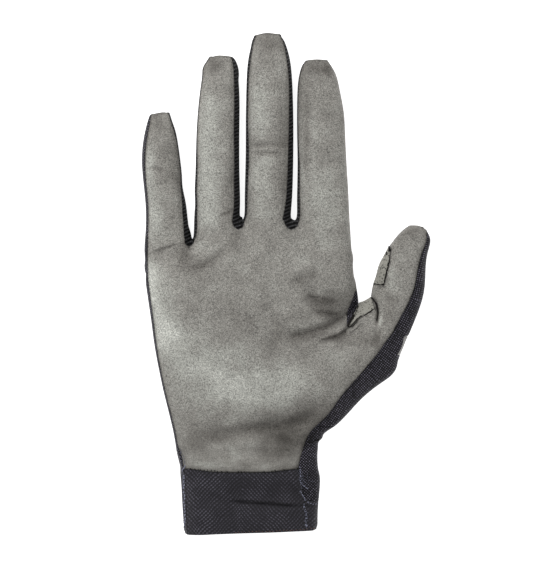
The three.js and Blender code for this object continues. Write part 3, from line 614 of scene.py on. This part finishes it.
def nudge(places, node):
    """Makes the small shifts of a node's cloth."""
    moves = np.zeros((len(places), 2))
    for row in named_rows(NUDGE, NUDGES):
        if not node.startswith(row.get("nodes", "")):
            continue
        offset = places[:, :2] - on_glove(row["x"], row["y"])
        reach = row["reach"] * PIXEL / MM
        strength = np.exp(-(offset**2).sum(1) / reach**2)[:, None]
        moves += strength * np.array((row["dx"], -row["dy"])) * PIXEL / MM
    places[:, :2] += moves


def fold_strength(places, fold):
    """How strongly a fold shows at each place, from 0 to 1, and the signed distance from it."""
    away, share = beside_curve(places, fold["start"], fold["bend"], fold["end"])
    fade = smoothstep(share, 0, fold["fade"]) * smoothstep(1 - share, 0, fold["fade"])
    return fade, away


def fold_cloth(places, folds, raised):
    """Sinks folds into the side of the cloth that faces up, and returns the painted shade in their grooves.
    """
    shade = np.zeros(len(places))
    lift = np.zeros(len(places))
    for fold in folds:
        fade, away = fold_strength(places, fold)
        reach = np.where(away > 0, SHARP_SIDE, SOFT_SIDE) * fold["width"]
        groove = np.exp(-((away / reach) ** 2)) * fade
        swell = np.exp(-((away / fold["width"] - RIDGE_AWAY) ** 2)) * fade
        lift += fold["ridge"] * swell - fold["depth"] * groove
        shade -= fold["shade"] * groove
    places[:, 2] += lift * raised
    return shade


def crumple(places, raised, size, height, seed):
    """Small uneven swells in soft cloth."""
    shift = Vector((seed, 2 * seed, 0))
    swells = [noise.noise(Vector(p) / size + shift) for p in places]
    places[:, 2] += np.array(swells) * height * raised


def roll_seams(mesh, places, distances):
    """Turns the cloth down towards its seams."""
    normals = np.zeros(len(places) * 3, np.float32)
    mesh.vertex_normals.foreach_get("vector", normals)
    up = np.clip(normals.reshape(-1, 3)[:, 2], 0, 1)
    places[:, 2] -= ROLL_DEPTH * np.exp(-((distances / ROLL_REACH) ** 2)) * up


def upper_side(places):
    """0 on the cloth that lies on the table, 1 on the cloth that faces up."""
    return smoothstep(places[:, 2], *UPPER_SIDE)


def add_cloth_map(mesh, run_of=None):
    """A UV map in metres: the cloth laid flat from the side that each face looks to."""
    layer = mesh.uv_layers.new(name="Cloth")
    places = vertex_array(mesh) * MM
    for polygon in mesh.polygons:
        across, along = flat_axes(polygon.normal)
        for i in polygon.loop_indices:
            place = places[mesh.loops[i].vertex_index]
            laid = run_of(place, polygon.normal) if run_of else (place[across], place[along])
            layer.data[i].uv = laid


def flat_axes(normal):
    """The two axes that a face is laid out on."""
    if abs(normal.z) > FLAT_NORMAL:
        return 0, 1
    return (2, 1) if abs(normal.x) > abs(normal.y) else (0, 2)


def round_edges(obj):
    """Rounds the cut edges a little and smooths the rest."""
    obj.data.shade_smooth()
    modifier = obj.modifiers.new("Rounded edge", "BEVEL")
    modifier.width = EDGE_ROUNDING
    modifier.segments = 2
    modifier.limit_method = "ANGLE"
    modifier.angle_limit = RIM_ANGLE
    modifier.harden_normals = False


def cloth_panel(node, piece, finish, levels=2, shape=None, run_of=None, refine=None):
    """Makes a piece from a CAD panel: the same outline and wall, with smooth cloth between seams."""
    bm = merged_copy(node)
    crease_rims(bm)
    hold_outline(bm)
    obj = object_of(bm, piece)
    subdivide(obj, levels)
    if refine:
        refine(obj)
    mesh = obj.data
    rim = rim_vertices(mesh)
    places = vertex_array(mesh)
    nudge(places, node)
    # The shape's value is nap tone together with painted light and shade, stored for the materials
    nap_and_painted_shading = shape(places) if shape else np.zeros(len(places))
    distances = seam_distances(places, rim)
    roll_seams(mesh, places, distances)
    places[:, 2] = np.maximum(places[:, 2], 0)
    set_vertices(mesh, places)
    set_attribute(mesh, "seam_distance", distances)
    set_attribute(mesh, "nap_and_painted_shading", nap_and_painted_shading)
    add_cloth_map(mesh, run_of)
    round_edges(obj)
    mesh.materials.clear()
    mesh.materials.append(finish)
    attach(obj, "root")
    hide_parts(node)
    return obj


# Materials

class Finish:
    """A material that ends in one shader, with short ways to add the nodes before it."""

    def __init__(self, name, **constants):
        self.material = bpy.data.materials.new(name)
        self.material.use_nodes = True
        self.tree = self.material.node_tree
        self.shader = self.tree.nodes["Principled BSDF"]
        for socket, value in constants.items():
            self.shader.inputs[socket.replace("_", " ")].default_value = value

    def node(self, kind, inputs=(), **settings):
        made = self.tree.nodes.new(kind)
        for name, value in settings.items():
            setattr(made, name, value)
        for socket, value in dict(inputs).items():
            if isinstance(value, bpy.types.NodeSocket):
                self.tree.links.new(value, made.inputs[socket])
            else:
                made.inputs[socket].default_value = value
        return made

    def coordinates(self):
        return self.node("ShaderNodeTexCoord").outputs["Object"]

    def cloth_map(self):
        return self.node("ShaderNodeUVMap", uv_map="Cloth").outputs["UV"]

    def attribute(self, name):
        return self.node("ShaderNodeAttribute", attribute_name=name).outputs["Fac"]

    def noise(self, vector, size, detail=2.0, roughness=0.5):
        """Noise with features of about that size in millimetres."""
        made = self.node(
            "ShaderNodeTexNoise",
            {"Vector": vector, "Scale": 1 / (size * MM), "Detail": detail, "Roughness": roughness},
        )
        return made.outputs["Fac"]

    def math(self, operation, first, second=0.0):
        return self.node("ShaderNodeMath", {0: first, 1: second}, operation=operation).outputs[0]

    def add(self, first, *others):
        for other in others:
            first = self.math("ADD", first, other)
        return first

    def less(self, first, second):
        return self.math("SUBTRACT", first, second)

    def scaled(self, value, share):
        return self.math("MULTIPLY", value, share)

    def darkened(self, colour, share):
        """A colour multiplied by a number."""
        made = self.node(
            "ShaderNodeMix", {0: 1.0, 6: colour, 7: share}, data_type="RGBA", blend_type="MULTIPLY"
        )
        return made.outputs[2]

    def ramp_to(self, value, low, high, to_low=0.0, to_high=1.0):
        made = self.node(
            "ShaderNodeMapRange",
            {"Value": value, "From Min": low, "From Max": high, "To Min": to_low, "To Max": to_high},
            interpolation_type="SMOOTHSTEP",
        )
        return made.outputs["Result"]

    def colours(self, value, stops):
        """A colour ramp from (place, colour) pairs."""
        made = self.node("ShaderNodeValToRGB", {"Fac": value})
        elements = made.color_ramp.elements
        while len(elements) < len(stops):
            elements.new(0.5)
        for element, (place, colour) in zip(elements, stops):
            element.position = place
            element.color = (*colour, 1)
        return made.outputs["Color"]

    def tones(self, value, base, tones):
        """A colour ramp from (place, share of the base colour) pairs."""
        return self.colours(value, [(place, shade(base, share)) for place, share in tones])

    def finish(self, colour, height, depth):
        """Links the colour, and a bump of that depth in millimetres."""
        self.tree.links.new(colour, self.shader.inputs["Base Color"])
        bump = self.node("ShaderNodeBump", {"Height": height, "Strength": 1.0, "Distance": depth * MM})
        self.tree.links.new(bump.outputs["Normal"], self.shader.inputs["Normal"])
        return self.material


def shade(colour, share):
    """A colour made darker or lighter."""
    return tuple(min(1.0, c * share) for c in colour)


def suede_finish(settings):
    """Brushed suede: a fine speckle over clouds of lighter, greener and darker, browner nap, with painted
    light and shade from the folds, spots and bands, and painted shade along the seams.
    """
    made = Finish(
        "Suede", Roughness=0.96, Sheen_Weight=0.1, Sheen_Roughness=0.55, Specular_IOR_Level=0.15
    )
    place = made.coordinates()
    speck = made.noise(place, settings.speckle_size, 1.0)
    grain = made.noise(place, GRAIN_SPECKLES * settings.speckle_size, 2.0)
    cloud = made.noise(place, CLOUD_SIZE, 3.0, 0.6)
    edge = made.attribute("seam_distance")
    height = made.node("ShaderNodeSeparateXYZ", {"Vector": place}).outputs["Y"]
    worn = made.ramp_to(height, *WORN_RUN, 0.6, 1.0)
    drawn = made.node("ShaderNodeMapping", {"Vector": place, "Scale": STREAK_SCALE}).outputs["Vector"]
    streak = made.less(made.noise(drawn, STREAK_SIZE, 2.0), 0.5)
    streak = made.scaled(streak, made.less(1.0, worn))
    # Painted shade along the seams, partly a browner nap there: the tone is lower within 3 mm of a cut edge
    rim = made.ramp_to(edge, 0.0, 3.0, 0.225, 0.325)
    tone = made.add(made.scaled(cloud, 0.35), made.attribute("nap_and_painted_shading"), rim, streak)
    base = tuple(settings.suede_colour)
    stops = [(at, tuple(c * s for c, s in zip(base, shares))) for at, shares in SUEDE_TONES]
    colour = made.colours(tone, stops)
    fleck = made.add(made.scaled(speck, 2.3), made.scaled(grain, 0.7), -1.5)
    fleck = made.add(made.scaled(fleck, worn), 1.0)
    # Painted shade at the cut edges, partly the dark of their stitching: the colour is darkened within 0.9 mm
    # of them
    fleck = made.scaled(fleck, made.ramp_to(edge, 0.1, 0.9, 0.55, 1.0))
    return made.finish(made.darkened(colour, fleck), made.add(speck, made.scaled(grain, 0.8)), 0.1)


def pebbled_finish(settings):
    """The thumb patches' suede, with a pebbled face and dark pores."""
    made = Finish("Pebbled suede", Roughness=0.95, Sheen_Weight=0.1, Specular_IOR_Level=0.15)
    place = made.coordinates()
    cells = made.node(
        "ShaderNodeTexVoronoi", {"Vector": place, "Scale": 1 / (PEBBLE_SIZE * MM), "Randomness": 1.0}
    )
    pore = made.ramp_to(cells.outputs["Distance"], 0.12, 0.5, 0.1, 1.0)
    speck = made.noise(place, settings.speckle_size, 2.0, 0.6)
    tone = made.scaled(pore, made.add(made.scaled(speck, 1.4), 0.3))
    colour = made.tones(made.scaled(tone, 0.79), settings.patch_colour, PEBBLE_TONES)
    return made.finish(colour, tone, 0.3)


def wipe_finish(settings):
    """Soft pale brushed cloth."""
    made = Finish("Wipe cloth", Roughness=0.97, Sheen_Weight=0.25)
    place = made.coordinates()
    loop = made.noise(place, 0.7, 3.0, 0.65)
    cloud = made.noise(place, 6.0)
    tone = made.add(made.scaled(loop, 0.7), made.scaled(cloud, 0.4))
    return made.finish(made.tones(tone, settings.wipe_colour, WIPE_TONES), loop, 0.35)


def lattice(made, vector, pitch, turn):
    """Distance to the nearest point of an even lattice of that pitch, turned by so many degrees."""
    laid = made.node(
        "ShaderNodeMapping",
        {"Vector": vector, "Scale": (1 / (pitch * MM),) * 3, "Rotation": (0, 0, math.radians(turn))},
    ).outputs["Vector"]
    return made.node(
        "ShaderNodeTexVoronoi",
        {"Vector": laid, "Scale": 1.0, "Randomness": 0.0},
        voronoi_dimensions="2D",
    ).outputs["Distance"]


def mesh_finish(settings, name, turn):
    """Black dotted mesh: raised pale-blue dots of thread between dark holes."""
    made = Finish(name, Roughness=0.75, Sheen_Weight=0.06, Specular_IOR_Level=0.18)
    laid = made.cloth_map()
    away = lattice(made, laid, settings.mesh_pitch, turn)
    dot = made.ramp_to(away, 0.10, 0.44, 1.0, 0.0)
    uneven = made.noise(laid, MESH_UNEVEN, 2.0, 0.7)
    patch = made.noise(laid, MESH_PATCH, 2.0)
    light = made.scaled(dot, made.ramp_to(uneven, 0.3, 0.7, 0.35, 1.25))
    light = made.scaled(light, made.ramp_to(patch, 0.35, 0.65, 0.8, 1.25))
    return made.finish(made.tones(light, settings.mesh_colour, MESH_TONES), dot, 0.3)


def rib_finish(settings):
    """Fine, slightly slanted ribs across the fingers' sides."""
    made = Finish("Rib knit", Roughness=0.8, Sheen_Weight=0.03, Specular_IOR_Level=0.15)
    parts = made.node("ShaderNodeSeparateXYZ", {"Vector": made.coordinates()})
    across = made.less(parts.outputs["X"], parts.outputs["Z"])
    slant = made.less(parts.outputs["Y"], made.scaled(across, RIB_SLANT))
    turns = made.scaled(slant, 2 * math.pi / (settings.rib_pitch * MM))
    rib = made.add(made.scaled(made.math("SINE", turns), 0.5), 0.5)
    thread = made.noise(made.coordinates(), 0.5, 2.0, 0.7)
    light = made.scaled(rib, made.ramp_to(thread, 0.3, 0.7, 0.5, 1.2))
    return made.finish(made.tones(light, settings.rib_colour, RIB_TONES), rib, 0.3)


def herringbone_finish(settings):
    """The cuff's stretch knit: diagonal rows of loops that turn back in broad bands."""
    made = Finish("Cuff knit", Roughness=0.8, Sheen_Weight=0.12, Specular_IOR_Level=0.3)
    place = made.coordinates()
    wander = made.scaled(made.less(made.noise(place, 9.0), 0.5), HERRINGBONE_WANDER * MM)
    parts = made.node("ShaderNodeSeparateXYZ", {"Vector": place})
    across = made.less(parts.outputs["X"], float(on_glove(HERRINGBONE_TURN_PX, 0)[0]) * MM)
    band = made.math("PINGPONG", made.add(across, wander), HERRINGBONE_BAND * MM)
    scale = 2 * math.pi / (settings.knit_pitch * MM)
    row = made.math("SINE", made.scaled(made.less(parts.outputs["Y"], band), scale))
    loop = made.math("SINE", made.scaled(made.add(parts.outputs["Y"], band), scale))
    uneven = made.ramp_to(made.noise(place, 1.0, 2.0, 0.7), 0.3, 0.7, 0.6, 1.2)
    light = made.scaled(made.add(made.scaled(row, 0.5), 0.5), made.add(made.scaled(loop, 0.35), 0.65))
    patch = made.ramp_to(made.noise(place, 7.0), 0.35, 0.65, 0.75, 1.2)
    # Painted shade in the cuff's folds, and its darkening to the right, come from the nap_and_painted_shading
    # attribute
    for share in (uneven, patch, made.add(made.attribute("nap_and_painted_shading"), 1.0)):
        light = made.scaled(light, share)
    return made.finish(made.tones(light, settings.knit_colour, KNIT_TONES), light, 0.2)


def thread_finish(name, colour):
    """Twisted sewing thread."""
    made = Finish(name, Roughness=0.7, Sheen_Weight=0.04, Specular_IOR_Level=0.15)
    twist = made.noise(made.coordinates(), 0.4, 1.0)
    return made.finish(made.tones(twist, colour, THREAD_TONES), twist, 0.1)


# Shapes of the panels' cloth

def refine_folds(obj):
    """Splits the faces near the suede's narrow folds, so that the folds come out sharp."""
    for reach in SPLIT_REACHES:
        bm = bmesh.new()
        bm.from_mesh(obj.data)
        centres = np.array([f.calc_center_median() for f in bm.faces]) / MM
        near = np.zeros(len(centres), bool)
        for fold in named_rows(FOLD, PALM_FOLDS):
            if fold["width"] < NARROW_FOLD:
                strength, away = fold_strength(centres, fold)
                beside = (np.abs(away) < reach * fold["width"]) & (strength > 0)
                near |= beside & (centres[:, 2] > SPLIT_ABOVE)
        edges = {e for face, chosen in zip(bm.faces, near) if chosen for e in face.edges}
        bmesh.ops.subdivide_edges(bm, edges=list(edges), cuts=1, use_grid_fill=True)
        bm.to_mesh(obj.data)
        bm.free()


def shape_palm(places):
    """Folds and swells of the suede, and its nap tone with painted light and shade: painted shade in the
    folds, and the listed lighter and darker spots and bands.
    """
    round_crotches(places, 1.0)
    draw_in_patch(places)
    raised = upper_side(places)
    for swell in PALM_SWELLS:
        crumple(places, raised, *swell)
    nap_and_painted_shading = fold_cloth(places, named_rows(FOLD, PALM_FOLDS), raised)
    for patch in named_rows(NAP_AND_SHADING_SPOT, PALM_NAP_AND_PAINTED_SHADING):
        turn = math.radians(patch.get("turn", 0))
        dx, dy = (places[:, :2] - on_glove(patch["x"], patch["y"])).T / (PIXEL / MM)
        across = (dx * math.cos(turn) + dy * math.sin(turn)) / patch["half_x"]
        along = (dy * math.cos(turn) - dx * math.sin(turn)) / patch["half_y"]
        nap_and_painted_shading += patch["tone"] * np.exp(-(across**2) - along**2)
    for band in named_rows(NAP_AND_SHADING_BAND, PALM_BANDS):
        fade, away = fold_strength(places, band)
        nap_and_painted_shading += band["tone"] * np.exp(-((away / band["width"]) ** 2)) * fade
    return nap_and_painted_shading


def shape_cuff(places):
    """The cuff's folds with painted shade in their grooves, and its uneven swells, which end at the seam on
    its left; its tone darkens to the right.
    """
    raised = upper_side(places)
    free = smoothstep(places[:, 0] - on_glove(CUFF_SEAM_PX, 0)[0], 0, CUFF_SEAM_REACH)
    crumple(places, raised * free, *CUFF_SWELL)
    nap_and_painted_shading = fold_cloth(places, named_rows(FOLD, CUFF_FOLDS), raised)
    return nap_and_painted_shading + CUFF_LIGHT - CUFF_DIM * smoothstep(places[:, 0], *CUFF_DIM_RUN)


def shape_cuff_front(places):
    """The cuff's front, drawn to its back's edge along the seam on the left."""
    nap_and_painted_shading = shape_cuff(places)
    away, _ = beside_curve(places, *CUFF_LEFT_SEAM)
    near = np.exp(-((away / SEAM_DRAW_REACH) ** 2)) * upper_side(places)
    places[:, 0] -= SEAM_DRAW * near
    places[:, 2] -= SEAM_DRAW * near
    return nap_and_painted_shading


def shape_side(places):
    """The mesh's slight swells beside the thumb."""
    crumple(places, upper_side(places), *SIDE_SWELL)
    return np.zeros(len(places))


def shape_ribs(places, settings):
    """Raises the ribs of a finger's side strip."""
    round_crotches(places, smoothstep(places[:, 2], *STRIP_CROTCH_RUN))
    slant = places[:, 1] - RIB_SLANT * (places[:, 0] - places[:, 2])
    rib = np.sin(slant * 2 * math.pi / settings.rib_pitch)
    places[:, 2] += RIB_HEIGHT * rib * smoothstep(places[:, 2], *RIB_RUN)
    return np.zeros(len(places))


def shape_patch(places):
    """Brings the thumb's side patch to its seam."""
    draw_in_patch(places)
    return np.zeros(len(places))


def seam_run(place, normal):
    """A place's distance from the thumb's seam and its run along it, in metres."""
    here = np.array(place[:2]) / MM
    best, run, found = math.inf, 0.0, (0.0, 0.0)
    for start, end in zip(THUMB_SEAM, THUMB_SEAM[1:]):
        a, b = on_glove(*start), on_glove(*end)
        length = float(np.hypot(*(b - a)))
        unit = (b - a) / length
        share = min(max(float((here - a) @ unit), 0.0), length)
        away = float(np.hypot(*(here - a - share * unit)))
        if away < best:
            best = away
            side = unit[0] * (here - a)[1] - unit[1] * (here - a)[0]
            found = (math.copysign(away, side) * MM, (run + share) * MM)
        run += length
    drop = place[2] if abs(normal.z) < FLAT_NORMAL else 0.0
    return found[0] - drop, found[1]


# Threads

def top_surface():
    """A search tree over the pieces made so far."""
    verts, faces = [], []
    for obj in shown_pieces():
        first = len(verts)
        verts.extend(v.co.copy() for v in obj.data.vertices)
        faces.extend([first + i for i in p.vertices] for p in obj.data.polygons)
    return BVHTree.FromPolygons(verts, faces)


def path_points(points, pitch):
    """Evenly spaced places along a line of points, with the direction there."""
    found, carried = [], 0.0
    for start, end in zip(points, points[1:]):
        a, b = Vector((*on_glove(*start), 0)), Vector((*on_glove(*end), 0))
        run = (b - a).normalized()
        at = carried
        while at < (b - a).length:
            found.append((a + run * at, run))
            at += pitch
        carried = at - (b - a).length
    return found


def add_stitch(bm, surface, place, run, length, radius):
    """One stitch of thread, lying on the cloth below its place."""
    above = Vector((place.x * MM, place.y * MM, ABOVE_GLOVE))
    hit, normal, _, _ = surface.ray_cast(above, Vector((0, 0, -1)))
    if hit is None:
        return
    along = (run - normal * run.dot(normal)).normalized()
    turn = Matrix((along, normal.cross(along), normal)).transposed().to_4x4()
    size = Matrix.Diagonal((length / 2 * MM, radius * MM, radius * MM, 1))
    where = Matrix.Translation(hit + normal * radius * STITCH_LIFT * MM)
    bmesh.ops.create_uvsphere(bm, u_segments=6, v_segments=6, radius=1, matrix=where @ turn @ size)


def thread_piece(name, rows, finish, surface):
    """All the stitches of one thread as one joined mesh."""
    bm = bmesh.new()
    chance = random.Random(THREAD_SEED)
    for row in named_rows(THREAD_PATH, rows):
        for place, run in path_points(row["points"], row["pitch"]):
            stray = Vector((chance.uniform(-1, 1), chance.uniform(-1, 1), 0))
            stray *= row["uneven"] * row["pitch"] / 2
            slanted = Matrix.Rotation(-row["zigzag"] * math.pi / 2, 3, "Z") @ run
            length = row["length"] * (1 + row["uneven"] * chance.uniform(*STITCH_SPREAD))
            add_stitch(bm, surface, place + stray, slanted, length, row["radius"])
    obj = object_of(bm, name)
    obj.data.shade_smooth()
    obj.data.materials.append(finish)
    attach(obj, "root")
    return obj


# What a user may change

def colour_setting(name, description, default):
    return FloatVectorProperty(
        name=name, description=description, subtype="COLOR", default=default, min=0, max=1
    )


def size_setting(name, description, default, low, high):
    return FloatProperty(
        name=name, description=description + " in millimetres", default=default, min=low, max=high
    )


class GloveSettings(PropertyGroup):
    """Colours and cloth sizes of the glove."""

    suede_colour: colour_setting("Suede", "Mean colour of the palm's suede", (0.285, 0.275, 0.252))
    patch_colour: colour_setting("Patches", "Mean colour of the thumb's patches", (0.33, 0.322, 0.285))
    wipe_colour: colour_setting("Wipe cloth", "Mean colour of the wipe patch", (0.26, 0.25, 0.24))
    mesh_colour: colour_setting("Mesh", "Mean colour of the black mesh", (0.030, 0.028, 0.036))
    rib_colour: colour_setting("Ribs", "Mean colour of the fingers' side strips", (0.020, 0.020, 0.021))
    knit_colour: colour_setting("Cuff", "Mean colour of the cuff's knit", (0.031, 0.029, 0.037))
    thread_colour: colour_setting("Thread", "Colour of the cuff's pale thread", (0.34, 0.35, 0.46))
    speckle_size: size_setting("Speckle", "Size of the suede's speckle", 0.5, 0.2, 3)
    mesh_pitch: size_setting("Mesh pitch", "Distance between the mesh's dots", 1.0, 0.4, 4)
    rib_pitch: size_setting("Rib pitch", "Distance between two ribs along a finger", 1.78, 0.5, 5)
    knit_pitch: size_setting("Knit pitch", "Distance between the cuff's diagonal lines", 1.92, 0.5, 4)


class GLOVE_OT_palm(Operator):
    """Make the suede palm with its folds"""

    bl_idname = "glove.palm"
    bl_label = "Suede Palm"

    def execute(self, context):
        finish = suede_finish(context.scene.glove)
        cloth_panel("palm_panel", "suede_palm", finish, shape=shape_palm, refine=refine_folds)
        return {"FINISHED"}


class GLOVE_OT_back(Operator):
    """Make the mesh back of the hand and fingers"""

    bl_idname = "glove.back"
    bl_label = "Mesh Back"

    def execute(self, context):
        finish = mesh_finish(context.scene.glove, "Back mesh", 45)
        cloth_panel("back_panel", "mesh_back", finish)
        return {"FINISHED"}


class GLOVE_OT_fourchettes(Operator):
    """Make the ribbed strips between the fingers"""

    bl_idname = "glove.fourchettes"
    bl_label = "Finger Sides"

    def execute(self, context):
        settings = context.scene.glove
        finish = rib_finish(settings)
        for pair in ("pinky_ring", "ring_middle", "middle_index"):
            cloth_panel(
                "fourchette_" + pair, "ribbed_side_" + pair, finish, levels=4,
                shape=lambda places: shape_ribs(places, settings),
            )
        return {"FINISHED"}


class GLOVE_OT_thumb(Operator):
    """Make the thumb's mesh side and its three patches"""

    bl_idname = "glove.thumb"
    bl_label = "Thumb Panels"

    def execute(self, context):
        settings = context.scene.glove
        mesh = mesh_finish(settings, "Thumb mesh", 0)
        suede = pebbled_finish(settings)
        wipe = wipe_finish(settings)
        cloth_panel(
            "thumb_back_panel", "mesh_thumb_side", mesh, 3, shape_side, run_of=seam_run
        )
        cloth_panel("thumb_side_patch", "pebbled_side_patch", suede, 4, shape_patch)
        cloth_panel("thumb_crotch_patch", "pebbled_crotch_patch", suede, 4)
        cloth_panel("thumb_wipe_patch", "soft_wipe_patch", wipe, 3)
        return {"FINISHED"}


class GLOVE_OT_cuff(Operator):
    """Make the knit cuff and the mesh gusset beside it"""

    bl_idname = "glove.cuff"
    bl_label = "Cuff"

    def execute(self, context):
        settings = context.scene.glove
        knit = herringbone_finish(settings)
        mesh = mesh_finish(settings, "Gusset mesh", 40)
        cloth_panel("cuff_front", "knit_cuff_front", knit, 3, shape_cuff_front)
        cloth_panel("cuff_back", "knit_cuff_back", knit, 3, shape_cuff)
        cloth_panel("cuff_side_gusset", "mesh_cuff_gusset", mesh, 4, shape_side)
        return {"FINISHED"}


class GLOVE_OT_threads(Operator):
    """Make the stitches on the cuff and round the thumb's patches"""

    bl_idname = "glove.threads"
    bl_label = "Stitches"

    def execute(self, context):
        colour = tuple(context.scene.glove.thread_colour)
        surface = top_surface()
        threads = (
            ("pale_stitches", PALE_THREAD, "Pale thread", colour),
            ("grey_stitches", GREY_THREAD, "Grey thread", shade(colour, GREY_SHARE)),
            ("hem_stitches", HEM_THREAD, "Hem thread", HEM_COLOUR),
            # The dark thread is partly painted shadow in the seams' gaps and in the crotch patch's fold
            ("dark_seams_and_painted_shadow", DARK_THREAD_AND_SHADOW, "Dark thread and painted shadow", DARK_THREAD_AND_SHADOW_COLOUR),
        )
        for piece, rows, finish, tint in threads:
            thread_piece(piece, rows, thread_finish(finish, tint), surface)
        return {"FINISHED"}


def make_floor():
    """A pale sheet of paper under the glove."""
    bm = bmesh.new()
    bmesh.ops.create_grid(bm, x_segments=1, y_segments=1, size=FLOOR_SIZE / 2)
    floor = object_of(bm, "floor")
    floor.location.z = -FLOOR_DROP
    made = Finish("Floor", Roughness=0.9, Emission_Color=WHITE, Emission_Strength=FLOOR_GLOW)
    grain = made.noise(made.coordinates(), 3.0)
    floor.data.materials.append(made.finish(made.colours(grain, FLOOR_PAPER), grain, 0.02))
    floor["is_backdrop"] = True


def make_lights(scene):
    """The white surroundings and the two soft boxes, turned to the glove."""
    world = bpy.data.worlds.new("Studio")
    world.use_nodes = True
    background = world.node_tree.nodes["Background"].inputs
    background["Color"].default_value = WHITE
    background["Strength"].default_value = WORLD_BRIGHTNESS
    scene.world = world
    for name, light in LIGHTS.items():
        lamp = bpy.data.lights.new(name, "AREA")
        lamp.size = light["size"]
        lamp.energy = light["power"]
        obj = bpy.data.objects.new(name, lamp)
        obj.location = light["at"]
        obj.rotation_mode = "QUATERNION"
        obj.rotation_quaternion = (-Vector(light["at"])).to_track_quat("-Z", "Y")
        scene.collection.objects.link(obj)


def make_camera(scene):
    """A camera far above the palm, with the photograph's frame."""
    camera = bpy.data.cameras.new("Camera")
    camera.sensor_width = SENSOR_WIDTH
    camera.lens = SENSOR_WIDTH * VIEW_DISTANCE / (FRAME_HEIGHT_PX * PIXEL)
    camera.clip_end = FAR_CLIP
    obj = bpy.data.objects.new("Camera", camera)
    obj.location = VIEW_CENTRE + Vector((0, 0, VIEW_DISTANCE))
    scene.collection.objects.link(obj)
    scene.camera = obj
    scene.view_settings.view_transform = "Standard"


class GLOVE_OT_stage(Operator):
    """Make the pale floor, the soft studio light and the camera"""

    bl_idname = "glove.stage"
    bl_label = "Floor, Light and Camera"

    def execute(self, context):
        make_floor()
        make_lights(context.scene)
        make_camera(context.scene)
        return {"FINISHED"}


class GLOVE_PT_sidebar(Panel):
    """Lists the glove's pieces"""

    bl_label = "Sport Glove"
    bl_space_type = "VIEW_3D"
    bl_region_type = "UI"
    bl_category = "Glove"

    def draw(self, context):
        for name in GloveSettings.__annotations__:
            self.layout.prop(context.scene.glove, name)
        for operator in OPERATORS:
            self.layout.operator(operator.bl_idname)


OPERATORS = (
    GLOVE_OT_palm,
    GLOVE_OT_back,
    GLOVE_OT_fourchettes,
    GLOVE_OT_thumb,
    GLOVE_OT_cuff,
    GLOVE_OT_threads,
    GLOVE_OT_stage,
)


def register():
    for cls in (GloveSettings, *OPERATORS, GLOVE_PT_sidebar):
        bpy.utils.register_class(cls)
    bpy.types.Scene.glove = PointerProperty(type=GloveSettings)


def unregister():
    del bpy.types.Scene.glove
    for cls in (GLOVE_PT_sidebar, *reversed(OPERATORS), GloveSettings):
        bpy.utils.unregister_class(cls)


def main():
    register()
    bpy.ops.glove.palm()
    bpy.ops.glove.back()
    bpy.ops.glove.fourchettes()
    bpy.ops.glove.thumb()
    bpy.ops.glove.cuff()
    bpy.ops.glove.threads()
    bpy.ops.glove.stage()


if __name__ == "__main__":
    main()
